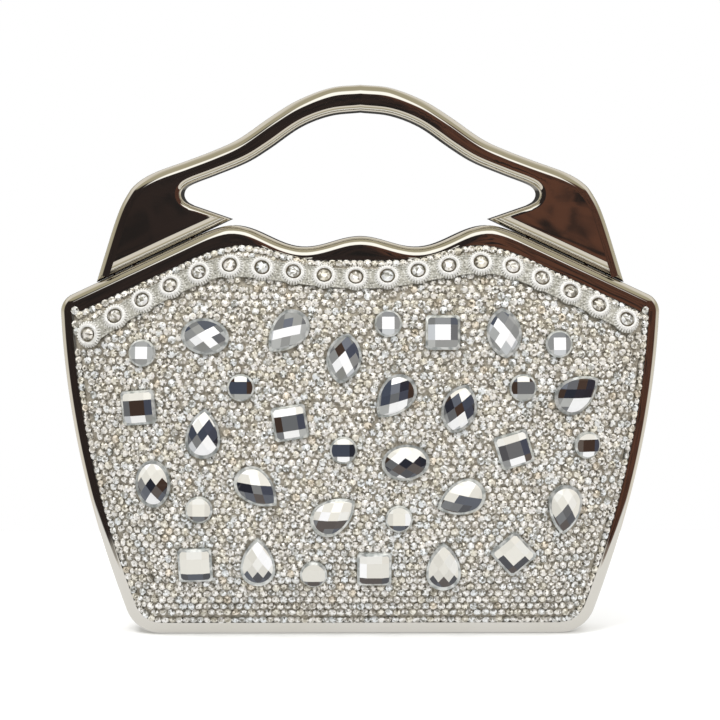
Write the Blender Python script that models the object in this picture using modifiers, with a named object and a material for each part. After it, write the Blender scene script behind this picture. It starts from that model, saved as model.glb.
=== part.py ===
"""Evening clutch bag: two domed halves hinged along the base, with a rigid arched handle on top.

Metres, +Z up. The bag stands on its base at z = 0, its front faces -Y and the seam of the two
halves is the plane y = 0. The front half turns down and forward about the hinges in the base.
"""
import math

import bmesh
import bpy
from mathutils import Matrix, Vector

FIT_GAP = 0.0003

# Body outline, seen from the front
BODY_WIDTH = 0.2226
BODY_HEIGHT = 0.1529
SIDE_LEAN = 0.0268
SHOULDER_DROP = 0.0276
SHOULDER_RUN = 0.0592
PEAK_ROUNDING = 0.0047
VALLEY_DROP = 0.0081
VALLEY_SPREAD_SHARE = 0.44
CREST_DROP = 0.0041
SIDE_PULL_SHARE = 0.944
SIDE_PULL_HEIGHT_SHARE = 0.51
CORNER_RADIUS = 0.0070
CORNER_LOSS_SHARE = 0.75

# Metal frame of each half
FRAME_DEPTH = 0.0110
FRAME_WALL = 0.0016
RIM_ROUND = 0.0018
RIM_SIDE = 0.0044
RIM_BASE = 0.0045
RIM_SHOULDER = 0.0069

# Domed panel of each half, from the skin of small stones inwards
PANEL_PEAK_DROP = 0.0072
PANEL_PEAK_SHIFT = 0.0034
PANEL_MIDDLE_DROP = 0.0127
PANEL_MIDDLE_SPREAD_SHARE = 0.33
SKIN_THICKNESS = 0.0014
BOARD_THICKNESS = 0.0015
LINING_THICKNESS = 0.0008
EDGE_RISE = 0.0090
EDGE_RISE_WIDTH = 0.0320
EDGE_RISE_POWER = 0.7
CROWN_RISE = 0.0035
CROWN_WIDTH = 0.0500
EDGE_BLEND_POWER = 4
DOME_CENTRE_SHARE = 0.48
DOME_RING_SHARES = (0.03, 0.10, 0.23, 0.50)

# Handle
HANDLE_DEPTH = 0.0200
HANDLE_RISE = 0.0517
HANDLE_SHOULDER_GAP = 0.0133
HANDLE_WALL = 0.0016
HANDLE_ARCH_THICKNESS = 0.0095
HANDLE_FOOT_WIDTH = 0.0317
HANDLE_OUTER_SHARES = (
    (0.924, 0.320), (0.880, 0.445), (0.840, 0.507), (0.773, 0.559), (0.658, 0.615),
    (0.554, 0.668), (0.458, 0.728), (0.336, 0.841), (0.235, 0.923), (0.112, 0.985))
HAND_OPENING_SHARES = (
    (0.170, 0.968), (0.336, 0.862), (0.508, 0.667), (0.637, 0.536), (0.807, 0.420),
    (0.938, 0.338), (0.986, 0.289), (1.000, 0.227), (0.983, 0.168), (0.943, 0.128))
HANDLE_TIP_SLOPE = math.radians(19.0)

# Screws that hold the handle on the back half, and the pegs that hold its two shells together
SCREW_RADIUS = 0.0012
SCREW_HEAD_RADIUS = 0.0022
SCREW_HEAD_HEIGHT = 0.0014
SCREW_REACH = 0.0070
SCREW_BOSS_WALL = 0.0012
SCREW_PLACE_SHARES = (0.30, 0.74)
PEG_RADIUS = 0.0016
PEG_REACH = 0.0040
PEG_SLEEVE_WALL = 0.0012
PEG_PLACE_SHARES = ((0.80, 0.47), (0.74, 0.27))

# Hinges in the base
HINGE_AXIS_HEIGHT = 0.0018
HINGE_SPREAD_SHARE = 0.533
HINGE_LENGTH = 0.0240
KNUCKLE_RADIUS = 0.0016
KNUCKLE_GAP = 0.0004
PIN_RADIUS = 0.0007
LEAF_THICKNESS = 0.0010
GROOVE_ANGLE = math.radians(35.0)
RIVET_RADIUS = 0.0009
RIVET_HEAD_RADIUS = 0.0016
RIVET_HEAD_HEIGHT = 0.0006
RIVET_RECESS = 0.0003
RIVET_SPREAD_SHARE = 0.6

# Magnets that hold the halves shut
MAGNET_RADIUS = 0.0024
MAGNET_THICKNESS = 0.0030
MAGNET_RECESS = 0.0004
MAGNET_CUP_WALL = 0.0006
MAGNET_PLACE_SHARE = 0.61

# Lining, which lies clear of the hinges and magnets
LINING_EDGE_RECESS = 0.0010

# Trim along the top of each panel, with its rosettes
TRIM_WIDTH = 0.0090
TRIM_LIFT = 0.0005
TRIM_THICKNESS = 0.0007
TRIM_STEPS = 27
TRIM_OVERHANG = 0.0040
ROSETTE_COUNT = 19
ROSETTE_RADIUS = 0.0048
ROSETTE_TOP_RADIUS = 0.0036
ROSETTE_HEIGHT = 0.0024
TRIM_PLACE_SHARES = (
    (-0.894, 0.746), (-0.737, 0.817), (-0.512, 0.896), (-0.386, 0.907), (-0.126, 0.884),
    (0.072, 0.881), (0.252, 0.902), (0.386, 0.915), (0.512, 0.901), (0.719, 0.835), (0.876, 0.778))

# Large stones, as width and length, and their places: across and up the body, and their turn
STONE_SINK = 0.0009
STONE_TABLE_SHARE = 0.55
STONE_CORNER_SHARE = 0.25
STONE_SIZES = {
    "round": (0.0100, 0.0100, 0.0026),
    "square": (0.0126, 0.0126, 0.0030),
    "oval": (0.0132, 0.0176, 0.0034),
    "navette": (0.0128, 0.0186, 0.0034),
    "pear": (0.0128, 0.0186, 0.0034),
}
STONE_PLACE_SHARES = {
    "round": ((-0.716, 0.696, 0), (-0.392, 0.615, 0), (0.090, 0.766, 0), (0.650, 0.717, 0),
              (0.531, 0.614, 0), (-0.057, 0.465, 0), (0.747, 0.474, 0), (-0.532, 0.321, 0),
              (-0.156, 0.162, 0), (0.126, 0.299, 0)),
    "square": ((-0.729, 0.566, 5), (-0.232, 0.531, 9), (0.269, 0.745, 0), (0.503, 0.466, 17),
               (-0.547, 0.185, 2), (0.045, 0.175, 0), (0.505, 0.212, 42)),
    "oval": ((-0.509, 0.736, 82), (-0.684, 0.382, 0), (0.147, 0.435, 96)),
    "navette": ((-0.055, 0.684, -10), (0.469, 0.744, 5), (0.322, 0.564, -17)),
    "pear": ((-0.242, 0.745, 137), (-0.516, 0.505, -4), (0.110, 0.591, 140), (0.712, 0.600, -55),
             (-0.340, 0.373, -131), (-0.088, 0.308, -55), (-0.340, 0.193, 0), (0.329, 0.348, 112),
             (0.274, 0.181, 0), (0.674, 0.318, 176)),
}

# Fineness of the curves
SIDE_STEPS = 5
FILLET_STEPS = 2
SLOPE_STEPS = 2
PEAK_STEPS = 2
WAVE_STEPS = 4
OUTER_CURVE_STEPS = 2
OPENING_CURVE_STEPS = 1
RIM_ROUND_STEPS = 2
FINE_SEGMENTS = 10
SMALL_SEGMENTS = 8
STONE_SEGMENTS = 8
SMOOTH_ANGLE = math.radians(35.0)
CUT_OVERRUN = 0.0020
MERGE_DISTANCE = 0.00001

# Places worked out from the sizes above
BODY_HALF = BODY_WIDTH / 2
BASE_HALF = BODY_HALF - SIDE_LEAN
SHOULDER_HEIGHT = BODY_HEIGHT - SHOULDER_DROP
SHOULDER_SLOPE = math.atan2(SHOULDER_DROP, SHOULDER_RUN)
PEAK_ACROSS = BODY_HALF - SHOULDER_RUN - PEAK_ROUNDING
VALLEY_ACROSS = PEAK_ACROSS * VALLEY_SPREAD_SHARE
HANDLE_HEIGHT = BODY_HEIGHT + HANDLE_RISE
HANDLE_HALF = BODY_HALF - HANDLE_SHOULDER_GAP
HAND_OPENING_HALF = HANDLE_HALF - HANDLE_FOOT_WIDTH
HAND_OPENING_HEIGHT = HANDLE_HEIGHT - HANDLE_ARCH_THICKNESS
HINGE_ACROSS = BASE_HALF * HINGE_SPREAD_SHARE
DOME_CENTRE = Vector((0.0, BODY_HEIGHT * DOME_CENTRE_SHARE))
LIP_BACK = FRAME_DEPTH - FRAME_WALL
BOARD_FRONT = LIP_BACK - FIT_GAP
BOARD_BACK = BOARD_FRONT - BOARD_THICKNESS
LINING_FRONT = BOARD_BACK - FIT_GAP
LINING_BACK = LINING_FRONT - LINING_THICKNESS
BOARD_DEPTH = SKIN_THICKNESS + FIT_GAP
LINING_DEPTH = BOARD_DEPTH + BOARD_THICKNESS + FIT_GAP
LEAF_BOTTOM = FRAME_WALL + FIT_GAP
LEAF_TOP = LEAF_BOTTOM + LEAF_THICKNESS
LEAF_REACH = BOARD_BACK - FIT_GAP
RIVET_TOP = LEAF_TOP + FIT_GAP + RIVET_HEAD_HEIGHT
MAGNET_CUP_RADIUS = MAGNET_RADIUS + FIT_GAP + MAGNET_CUP_WALL
MAGNET_INSET = FRAME_WALL + FIT_GAP + MAGNET_CUP_RADIUS
NOTCH_HALF = KNUCKLE_RADIUS + KNUCKLE_GAP


# Flat geometry, with a point as (across, up)

def quadratic(start, pull, end, steps):
    """Points of a quadratic curve, both ends included."""
    points = []
    for step in range(steps + 1):
        t = step / steps
        points.append(start * (1 - t) ** 2 + pull * (2 * t * (1 - t)) + end * t ** 2)
    return points


def smooth_through(points, steps):
    """A Catmull-Rom curve through the points, both ends included."""
    padded = [points[0] * 2 - points[1]] + list(points) + [points[-1] * 2 - points[-2]]
    curve = [points[0]]
    for a, b, c, d in zip(padded, padded[1:], padded[2:], padded[3:]):
        for step in range(1, steps + 1):
            t = step / steps
            curve.append((b * 2 + (c - a) * t + (a * 2 - b * 5 + c * 4 - d) * t ** 2
                          + (b * 3 - a - c * 3 + d) * t ** 3) / 2)
    return curve


def fillet(before, corner, after, radius, steps):
    """Points of a round corner in place of a sharp one."""
    back = (before - corner).normalized()
    ahead = (after - corner).normalized()
    half_angle = back.angle(ahead) / 2
    centre = corner + (back + ahead).normalized() * (radius / math.sin(half_angle))
    spoke = corner + back * (radius / math.tan(half_angle)) - centre
    turn = math.pi - 2 * half_angle
    if back.cross(ahead) > 0:
        turn = -turn
    return [centre + Matrix.Rotation(turn * step / steps, 2) @ spoke for step in range(steps + 1)]


def meet(a, b, c, d):
    """Where the line through a and b meets the line through c and d."""
    along = b - a
    other = d - c
    return a + along * ((c - a).cross(other) / along.cross(other))


def offset_line(points, distance):
    """An open line moved to its left, which is the inside of an outline that runs anticlockwise."""
    moved = []
    for index, point in enumerate(points):
        ahead = points[min(index + 1, len(points) - 1)] - points[max(index - 1, 0)]
        moved.append(point + Vector((-ahead.y, ahead.x)).normalized() * distance)
    return moved


def inset_loop(points, distance):
    """A closed outline moved inwards, with its corners kept sharp."""
    moved = []
    for index, point in enumerate(points):
        before = (point - points[index - 1]).normalized()
        after = (points[(index + 1) % len(points)] - point).normalized()
        normal = (Vector((-before.y, before.x)) + Vector((-after.y, after.x))).normalized()
        moved.append(point + normal * (distance / normal.dot(Vector((-after.y, after.x)))))
    return moved


def mirrored_loop(half):
    """A whole outline from its right half, which starts and ends on the middle line."""
    return half + [Vector((-point.x, point.y)) for point in reversed(half[1:-1])]


# Body outline

def side_curve():
    """Right side of the body, from the base corner up to the shoulder corner."""
    pull = Vector((BASE_HALF + (BODY_HALF - BASE_HALF) * SIDE_PULL_SHARE,
                   SHOULDER_HEIGHT * SIDE_PULL_HEIGHT_SHARE))
    return quadratic(Vector((BASE_HALF, 0)), pull, Vector((BODY_HALF, SHOULDER_HEIGHT)), SIDE_STEPS)


def slope_height(across):
    """Height of the straight shoulder."""
    return SHOULDER_HEIGHT + (BODY_HALF - across) * math.tan(SHOULDER_SLOPE)


def wave(start, end, steps):
    """Half a cosine wave between two level points, without its first point."""
    points = []
    for step in range(1, steps + 1):
        t = step / steps
        rise = (1 - math.cos(math.pi * t)) / 2
        points.append(Vector((start.x + (end.x - start.x) * t, start.y + (end.y - start.y) * rise)))
    return points


def top_curve(shoulder, peak, valley, crest):
    """Top from a point of the straight shoulder over the peak and the valley to the middle."""
    bend = Vector((shoulder.x - (peak.y - shoulder.y) / math.tan(SHOULDER_SLOPE), peak.y))
    slope_end = bend + (shoulder - bend).normalized() * (bend.x - peak.x) * 2
    slope = [shoulder.lerp(slope_end, step / SLOPE_STEPS) for step in range(SLOPE_STEPS)]
    rounding = quadratic(slope_end, bend, peak, PEAK_STEPS)
    return slope + rounding + wave(peak, valley, WAVE_STEPS) + wave(valley, crest, WAVE_STEPS)


def frame_top():
    """Top of the metal frame."""
    return top_curve(Vector((BODY_HALF, SHOULDER_HEIGHT)), Vector((PEAK_ACROSS, BODY_HEIGHT)),
                     Vector((VALLEY_ACROSS, BODY_HEIGHT - VALLEY_DROP)), Vector((0, BODY_HEIGHT - CREST_DROP)))


def panel_top():
    """Top of the rim's opening, which is flatter in the middle than the frame's own top."""
    into_body = Vector((-math.sin(SHOULDER_SLOPE), -math.cos(SHOULDER_SLOPE)))
    shoulder = Vector((BODY_HALF, SHOULDER_HEIGHT)) + into_body * RIM_SHOULDER
    peak = Vector((PEAK_ACROSS - PANEL_PEAK_SHIFT, BODY_HEIGHT - PANEL_PEAK_DROP))
    middle_height = BODY_HEIGHT - PANEL_MIDDLE_DROP
    return top_curve(shoulder, peak, Vector((peak.x * PANEL_MIDDLE_SPREAD_SHARE, middle_height)),
                     Vector((0, middle_height)))


def closed_outline(base, side, top_line, top_depth):
    """Outline with its base and sides moved in from the body's, closed by a given top line."""
    side_line = offset_line(side_curve(), side)
    middle = Vector((0, base))
    base_corner = meet(middle, Vector((BASE_HALF, base)), side_line[0], side_line[1])
    shoulder = meet(side_line[-2], side_line[-1], top_line[0], top_line[1])
    base_radius = CORNER_RADIUS - min(max(base, side), CORNER_RADIUS * CORNER_LOSS_SHARE)
    shoulder_radius = CORNER_RADIUS - min(max(side, top_depth), CORNER_RADIUS * CORNER_LOSS_SHARE)
    half = [middle]
    half += fillet(middle, base_corner, side_line[1], base_radius, FILLET_STEPS)
    half += side_line[1:-1]
    half += fillet(side_line[-2], shoulder, top_line[1], shoulder_radius, FILLET_STEPS)
    half += top_line[1:]
    half[-1].x = 0
    return mirrored_loop(half)


def body_outline(inset):
    """Outline of the body, moved in by the same distance all round."""
    return closed_outline(inset, inset, offset_line(frame_top(), inset), inset)


def rim_outline(inset):
    """Inner edge of the metal rim, moved in by a further distance."""
    top = offset_line(panel_top(), inset)
    return closed_outline(RIM_BASE + inset, RIM_SIDE + inset, top, RIM_SHOULDER + inset)


# Dome of the panels

def line_distance(point, line):
    """Shortest distance from a point to an open line of points."""
    nearest = math.inf
    for start, end in zip(line, line[1:]):
        run = end - start
        share = min(max((point - start).dot(run) / run.length_squared, 0), 1)
        nearest = min(nearest, (point - start - run * share).length)
    return nearest


def edge_lines():
    """The four edges of the panel's skin: base, right side, top and left side."""
    side = offset_line(side_curve(), RIM_SIDE + FIT_GAP)
    half_top = offset_line(panel_top(), FIT_GAP)
    top = half_top[:-1] + [Vector((-point.x, point.y)) for point in reversed(half_top)]
    base = [Vector((-BODY_HALF, RIM_BASE + FIT_GAP)), Vector((BODY_HALF, RIM_BASE + FIT_GAP))]
    left = [Vector((-point.x, point.y)) for point in side]
    return base, side, top, left


EDGE_LINES = edge_lines()


def edge_distance(point):
    """Distance from the nearest edges of the panel, blended smoothly where two are as near."""
    total = 0.0
    for line in EDGE_LINES:
        distance = line_distance(point, line)
        if distance == 0:
            return 0.0
        total += distance ** -EDGE_BLEND_POWER
    return total ** (-1 / EDGE_BLEND_POWER)


def dome_reach(point, depth):
    """How far a layer of the dome stands from the seam, at a depth under its outer skin."""
    distance = max(edge_distance(point) - depth, 0)
    edge_share = min(distance / EDGE_RISE_WIDTH, 1)
    crown_share = min(distance / CROWN_WIDTH, 1)
    edge_rise = EDGE_RISE * (1 - (1 - edge_share) ** 2) ** EDGE_RISE_POWER
    crown_rise = CROWN_RISE * crown_share ** 2 * (3 - 2 * crown_share)
    return FRAME_DEPTH - depth + edge_rise + crown_rise


def in_front(point, reach):
    """A point of the front half from its place seen from the front and its reach from the seam."""
    return Vector((point.x, -reach, point.y))


def level_ring(outline, reach):
    return [in_front(point, reach) for point in outline]


def dome_rings(depth):
    """Rings of one dome surface, from its edge to its single middle point."""
    edge = rim_outline(FIT_GAP + depth)
    rings = [level_ring(edge, FRAME_DEPTH - depth)]
    for share in DOME_RING_SHARES:
        ring = [point.lerp(DOME_CENTRE, share) for point in edge]
        rings.append([in_front(point, dome_reach(point, depth)) for point in ring])
    rings.append([in_front(DOME_CENTRE, dome_reach(DOME_CENTRE, depth))])
    return rings


def skin_frame(place, turn):
    """Matrix of a piece that lies on the skin of the dome, its own Z along the dome's normal."""
    step = FIT_GAP
    here = in_front(place, dome_reach(place, 0))
    right = place + Vector((step, 0))
    upper = place + Vector((0, step))
    across = (in_front(right, dome_reach(right, 0)) - here).normalized()
    normal = across.cross(in_front(upper, dome_reach(upper, 0)) - here).normalized()
    up = normal.cross(across)
    axes = Matrix((across, up, normal)).transposed().to_4x4()
    return Matrix.Translation(here) @ axes @ Matrix.Rotation(turn, 4, "Z")


# Objects and materials

def clear_scene():
    for item in list(bpy.data.objects):
        bpy.data.objects.remove(item, do_unlink=True)


def new_collection(name):
    collection = bpy.data.collections.new(name)
    bpy.context.scene.collection.children.link(collection)
    return collection


def make_material(name, colour, metallic, roughness):
    material = bpy.data.materials.new(name)
    material.use_nodes = True
    shader = material.node_tree.nodes["Principled BSDF"]
    shader.inputs["Base Color"].default_value = (*colour, 1)
    shader.inputs["Metallic"].default_value = metallic
    shader.inputs["Roughness"].default_value = roughness
    return material


def make_materials():
    return {
        "nickel": make_material("mirror_nickel", (0.80, 0.78, 0.74), 1.0, 0.04),
        "board": make_material("grey_board", (0.45, 0.44, 0.42), 0.0, 0.8),
        "skin": make_material("small_stones", (0.72, 0.71, 0.68), 0.6, 0.25),
        "lining": make_material("grey_lining", (0.35, 0.34, 0.35), 0.0, 0.7),
        "trim": make_material("silver_lace", (0.82, 0.82, 0.82), 0.5, 0.4),
        "stone": make_material("clear_stone", (0.88, 0.90, 0.93), 0.1, 0.05),
        "steel": make_material("hinge_steel", (0.56, 0.56, 0.55), 1.0, 0.3),
        "magnet": make_material("magnet_nickel", (0.62, 0.62, 0.60), 1.0, 0.25),
    }


class Workshop:
    """The collections, materials and parents that every piece is made with."""

    def __init__(self):
        self.parts = new_collection("clutch_bag")
        self.cutters = new_collection("cutters")
        self.materials = make_materials()
        self.hinge_axis = bpy.data.objects.new("front_half_hinge_axis", None)
        self.hinge_axis.location = (0, 0, HINGE_AXIS_HEIGHT)
        self.parts.objects.link(self.hinge_axis)
        bpy.context.view_layer.update()

    def piece(self, name, mesh, material, moves=False, turned=False):
        """A named piece; one that moves hangs on the hinge axis, a turned one faces the back."""
        item = bpy.data.objects.new(name, mesh)
        mesh.materials.clear()
        mesh.materials.append(self.materials[material])
        self.parts.objects.link(item)
        if turned:
            item.rotation_euler.z = math.pi
        if moves:
            self.hang(item)
        return item

    def tool(self, name, mesh, turned=False):
        """A shape that only cuts or joins other pieces."""
        item = bpy.data.objects.new(name, mesh)
        item.hide_render = True
        item.display_type = "WIRE"
        if turned:
            item.rotation_euler.z = math.pi
        self.cutters.objects.link(item)
        return item

    def turned_piece(self, name, profile, material, place, direction, moves=False):
        """A piece turned from a profile of radius and height, its own Z along a direction."""
        mesh = bpy.data.meshes.new(name)
        edges = [(index, index + 1) for index in range(len(profile) - 1)]
        mesh.from_pydata([(radius, 0, height) for radius, height in profile], edges, [])
        item = self.piece(name, mesh, material)
        turn = direction.to_track_quat("Z", "Y").to_matrix().to_4x4()
        item.matrix_world = Matrix.Translation(place) @ turn
        if moves:
            bpy.context.view_layer.update()
            self.hang(item)
        screw = item.modifiers.new("turning", "SCREW")
        screw.steps = SMALL_SEGMENTS
        screw.render_steps = SMALL_SEGMENTS
        screw.use_merge_vertices = True
        screw.merge_threshold = MERGE_DISTANCE
        return item

    def hang(self, item):
        """Hangs a piece on the hinge axis, where it stands."""
        item.parent = self.hinge_axis
        item.matrix_parent_inverse = self.hinge_axis.matrix_world.inverted()


def combine(item, tool, operation):
    modifier = item.modifiers.new(tool.name, "BOOLEAN")
    modifier.operation = operation
    modifier.solver = "EXACT"
    modifier.object = tool


def finish_mesh(name, shape):
    """Turns a bmesh into a mesh of flat triangles, shaded smooth except at its hard edges."""
    shape.normal_update()
    bmesh.ops.triangulate(shape, faces=shape.faces)
    bmesh.ops.recalc_face_normals(shape, faces=shape.faces)
    mesh = bpy.data.meshes.new(name)
    shape.to_mesh(mesh)
    shape.free()
    mesh.shade_smooth()
    mesh.set_sharp_from_angle(angle=SMOOTH_ANGLE)
    return mesh


def add_loft(shape, rings, closed=False):
    """Joins rings of points with faces: a ring of one point is a tip, any other end is capped."""
    made = [[shape.verts.new(point) for point in ring] for ring in rings]
    pairs = list(zip(made, made[1:]))
    if closed:
        pairs.append((made[-1], made[0]))
    for lower, upper in pairs:
        count = max(len(lower), len(upper))
        for index in range(count):
            following = (index + 1) % count
            if len(lower) == 1:
                shape.faces.new((lower[0], upper[index], upper[following]))
            elif len(upper) == 1:
                shape.faces.new((lower[index], lower[following], upper[0]))
            else:
                shape.faces.new((lower[index], lower[following], upper[following], upper[index]))
    if not closed:
        for end in (made[0], made[-1]):
            if len(end) > 1:
                shape.faces.new(end)


def add_cylinder(shape, radius, start, end, segments=FINE_SEGMENTS, end_radius=None, frame=None):
    """A round bar or a cone between two points, which may be given in a frame of their own."""
    axis = end - start
    turn = axis.to_track_quat("Z", "Y").to_matrix().to_4x4()
    matrix = Matrix.Translation((start + end) / 2) @ turn
    bmesh.ops.create_cone(shape, cap_ends=True, segments=segments, radius1=radius,
                          radius2=radius if end_radius is None else end_radius, depth=axis.length,
                          matrix=matrix if frame is None else frame @ matrix)


def add_box(shape, low, high):
    """A box between its lowest and its highest corner."""
    size = high - low
    scale = Matrix.Diagonal((size.x, size.y, size.z, 1))
    bmesh.ops.create_cube(shape, size=1, matrix=Matrix.Translation((low + high) / 2) @ scale)


# Frames

def frame_mesh():
    """Metal frame of the front half: an outer wall that turns in to a flat rim."""
    rings = [level_ring(body_outline(0), FIT_GAP / 2)]
    for step in range(RIM_ROUND_STEPS + 1):
        angle = math.pi / 2 * step / RIM_ROUND_STEPS
        inset = RIM_ROUND * (1 - math.cos(angle))
        reach = FRAME_DEPTH - RIM_ROUND * (1 - math.sin(angle))
        rings.append(level_ring(body_outline(inset), reach))
    rings.append(level_ring(rim_outline(0), FRAME_DEPTH))
    rings.append(level_ring(rim_outline(0), LIP_BACK))
    inner = body_outline(FRAME_WALL)
    rings.append(level_ring(inner, LIP_BACK))
    rings.append(level_ring(inner, FIT_GAP / 2))
    shape = bmesh.new()
    add_loft(shape, rings, closed=True)
    return finish_mesh("frame", shape)


def groove_mesh():
    """Cutter of the slanted edge along the base seam that lets the front half turn down."""
    shape = bmesh.new()
    add_box(shape, Vector((-BODY_HALF, 0, -BODY_HALF)), Vector((BODY_HALF, BODY_HALF, 0)))
    turn = Matrix.Rotation(-GROOVE_ANGLE, 4, "X")
    shape.transform(Matrix.Translation((0, 0, HINGE_AXIS_HEIGHT)) @ turn)
    return finish_mesh("groove_cutter", shape)


def notch_mesh():
    """Cutter of the room for the hinge knuckles in the base walls."""
    half = HINGE_LENGTH / 2 + KNUCKLE_GAP
    shape = bmesh.new()
    for middle in (-HINGE_ACROSS, HINGE_ACROSS):
        add_box(shape, Vector((middle - half, -NOTCH_HALF, -CUT_OVERRUN)),
                Vector((middle + half, NOTCH_HALF, LEAF_TOP + KNUCKLE_RADIUS)))
    return finish_mesh("notch_cutter", shape)


def screw_line(share):
    """Start and direction of a handle screw: the shoulder's surface, and its outward normal."""
    tip, corner = handle_foot()
    across = tip.x + (corner.x - tip.x) * share
    start = Vector((across, HANDLE_DEPTH / 4, slope_height(across)))
    return start, Vector((math.sin(SHOULDER_SLOPE), 0, math.cos(SHOULDER_SLOPE)))


def mirrored(start, direction):
    """The same line on both sides of the bag."""
    flip = Vector((-1, 1, 1))
    return ((start, direction), (start * flip, direction * flip))


def screw_lines():
    lines = []
    for share in SCREW_PLACE_SHARES:
        lines.extend(mirrored(*screw_line(share)))
    return lines


def screw_hole_mesh():
    shape = bmesh.new()
    for start, direction in screw_lines():
        add_cylinder(shape, SCREW_RADIUS + FIT_GAP, start - direction * (FRAME_WALL + CUT_OVERRUN),
                     start + direction * (SCREW_REACH + FIT_GAP))
    return finish_mesh("screw_hole_cutter", shape)


def rivet_places():
    """Places of the rivets of the front leaves, as across and reach."""
    reach = (NOTCH_HALF + LEAF_REACH) / 2
    places = []
    for middle in (-HINGE_ACROSS, HINGE_ACROSS):
        for side in (-1, 1):
            places.append(Vector((middle + side * HINGE_LENGTH / 2 * RIVET_SPREAD_SHARE, reach)))
    return places


def rivet_hole_mesh():
    shape = bmesh.new()
    for place in rivet_places():
        add_cylinder(shape, RIVET_RADIUS + FIT_GAP, in_front(Vector((place.x, -CUT_OVERRUN)), place.y),
                     in_front(Vector((place.x, LEAF_TOP + CUT_OVERRUN)), place.y), SMALL_SEGMENTS)
    return finish_mesh("rivet_hole_cutter", shape)


def build_frames(shop):
    mesh = frame_mesh()
    groove = groove_mesh()
    notches = notch_mesh()
    rivet_holes = rivet_hole_mesh()
    front = shop.piece("front_frame", mesh, "nickel", moves=True)
    back = shop.piece("back_frame", mesh, "nickel", turned=True)
    notch_tool = shop.tool("knuckle_notches", notches)
    for item, side, turned in ((front, "front", False), (back, "back", True)):
        combine(item, shop.tool(f"{side}_groove", groove, turned), "DIFFERENCE")
        combine(item, notch_tool, "DIFFERENCE")
        combine(item, shop.tool(f"{side}_rivet_holes", rivet_holes, turned), "DIFFERENCE")
    combine(back, shop.tool("screw_holes", screw_hole_mesh()), "DIFFERENCE")


# Panels: the skin of small stones, the board that carries it and the lining

def skin_mesh():
    """Skin of small stones on its backing, which comes out through the rim's opening."""
    foot = BOARD_FRONT + FIT_GAP
    outer = [level_ring(rim_outline(FIT_GAP), foot)] + dome_rings(0)
    inner = [level_ring(rim_outline(FIT_GAP + SKIN_THICKNESS), foot)] + dome_rings(SKIN_THICKNESS)
    shape = bmesh.new()
    add_loft(shape, list(reversed(outer)) + inner)
    return finish_mesh("stone_skin", shape)


def board_mesh():
    """Domed board with a flat flange, which lies behind the rim."""
    edge = body_outline(FRAME_WALL + FIT_GAP)
    outer = [level_ring(edge, BOARD_FRONT), level_ring(rim_outline(FIT_GAP + BOARD_DEPTH), BOARD_FRONT)]
    outer += dome_rings(BOARD_DEPTH)
    back_depth = BOARD_DEPTH + BOARD_THICKNESS
    inner = [level_ring(edge, BOARD_BACK), level_ring(rim_outline(FIT_GAP + back_depth), BOARD_BACK)]
    inner += dome_rings(back_depth)
    shape = bmesh.new()
    add_loft(shape, list(reversed(outer)) + inner)
    return finish_mesh("board", shape)


def lining_outline(inset):
    """Edge of the lining, clear of the hinges below, the walls beside and the magnets above."""
    base = RIVET_TOP + FIT_GAP + inset
    side = FRAME_WALL + FIT_GAP + inset
    top_depth = MAGNET_INSET + MAGNET_CUP_RADIUS + FIT_GAP + inset
    top = offset_line(panel_top(), top_depth - RIM_SHOULDER)
    return closed_outline(base, side, top, top_depth)


def lining_mesh():
    """Lining: a tray along the walls whose floor follows the board."""
    back_depth = LINING_DEPTH + LINING_THICKNESS
    outer = [level_ring(lining_outline(0), LINING_EDGE_RECESS),
             level_ring(lining_outline(0), LINING_FRONT),
             level_ring(rim_outline(FIT_GAP + LINING_DEPTH), LINING_FRONT)]
    outer += dome_rings(LINING_DEPTH)
    inner = [level_ring(lining_outline(LINING_THICKNESS), LINING_EDGE_RECESS),
             level_ring(lining_outline(LINING_THICKNESS), LINING_BACK),
             level_ring(rim_outline(FIT_GAP + back_depth), LINING_BACK)]
    inner += dome_rings(back_depth)
    shape = bmesh.new()
    add_loft(shape, list(reversed(outer)) + inner)
    return finish_mesh("lining", shape)


def build_pair(shop, name, mesh, material):
    """The same piece in both halves, turned about the upright axis for the back one."""
    front = shop.piece(f"front_{name}", mesh, material, moves=True)
    back = shop.piece(f"back_{name}", mesh, material, turned=True)
    return front, back


def build_panels(shop):
    front, back = build_pair(shop, "stone_skin", skin_mesh(), "skin")
    for kind, places in STONE_PLACE_SHARES.items():
        mesh = stones_mesh(kind, places)
        combine(front, shop.tool(f"{kind}_stones", mesh), "UNION")
        combine(back, shop.tool(f"turned_{kind}_stones", mesh, turned=True), "UNION")
    build_pair(shop, "board", board_mesh(), "board")
    build_pair(shop, "lining", lining_mesh(), "lining")


# Trim and rosettes

def trim_path(steps):
    """Evenly spaced places along the trim, from its first rosette to its last."""
    knots = [Vector((across * BODY_HALF, up * BODY_HEIGHT)) for across, up in TRIM_PLACE_SHARES]
    curve = smooth_through(knots, SMALL_SEGMENTS)
    lengths = [0.0]
    for start, end in zip(curve, curve[1:]):
        lengths.append(lengths[-1] + (end - start).length)
    path = []
    index = 1
    for step in range(steps + 1):
        goal = lengths[-1] * step / steps
        while index < len(lengths) - 1 and lengths[index] < goal:
            index += 1
        share = (goal - lengths[index - 1]) / (lengths[index] - lengths[index - 1])
        path.append(curve[index - 1].lerp(curve[index], share))
    return path


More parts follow.
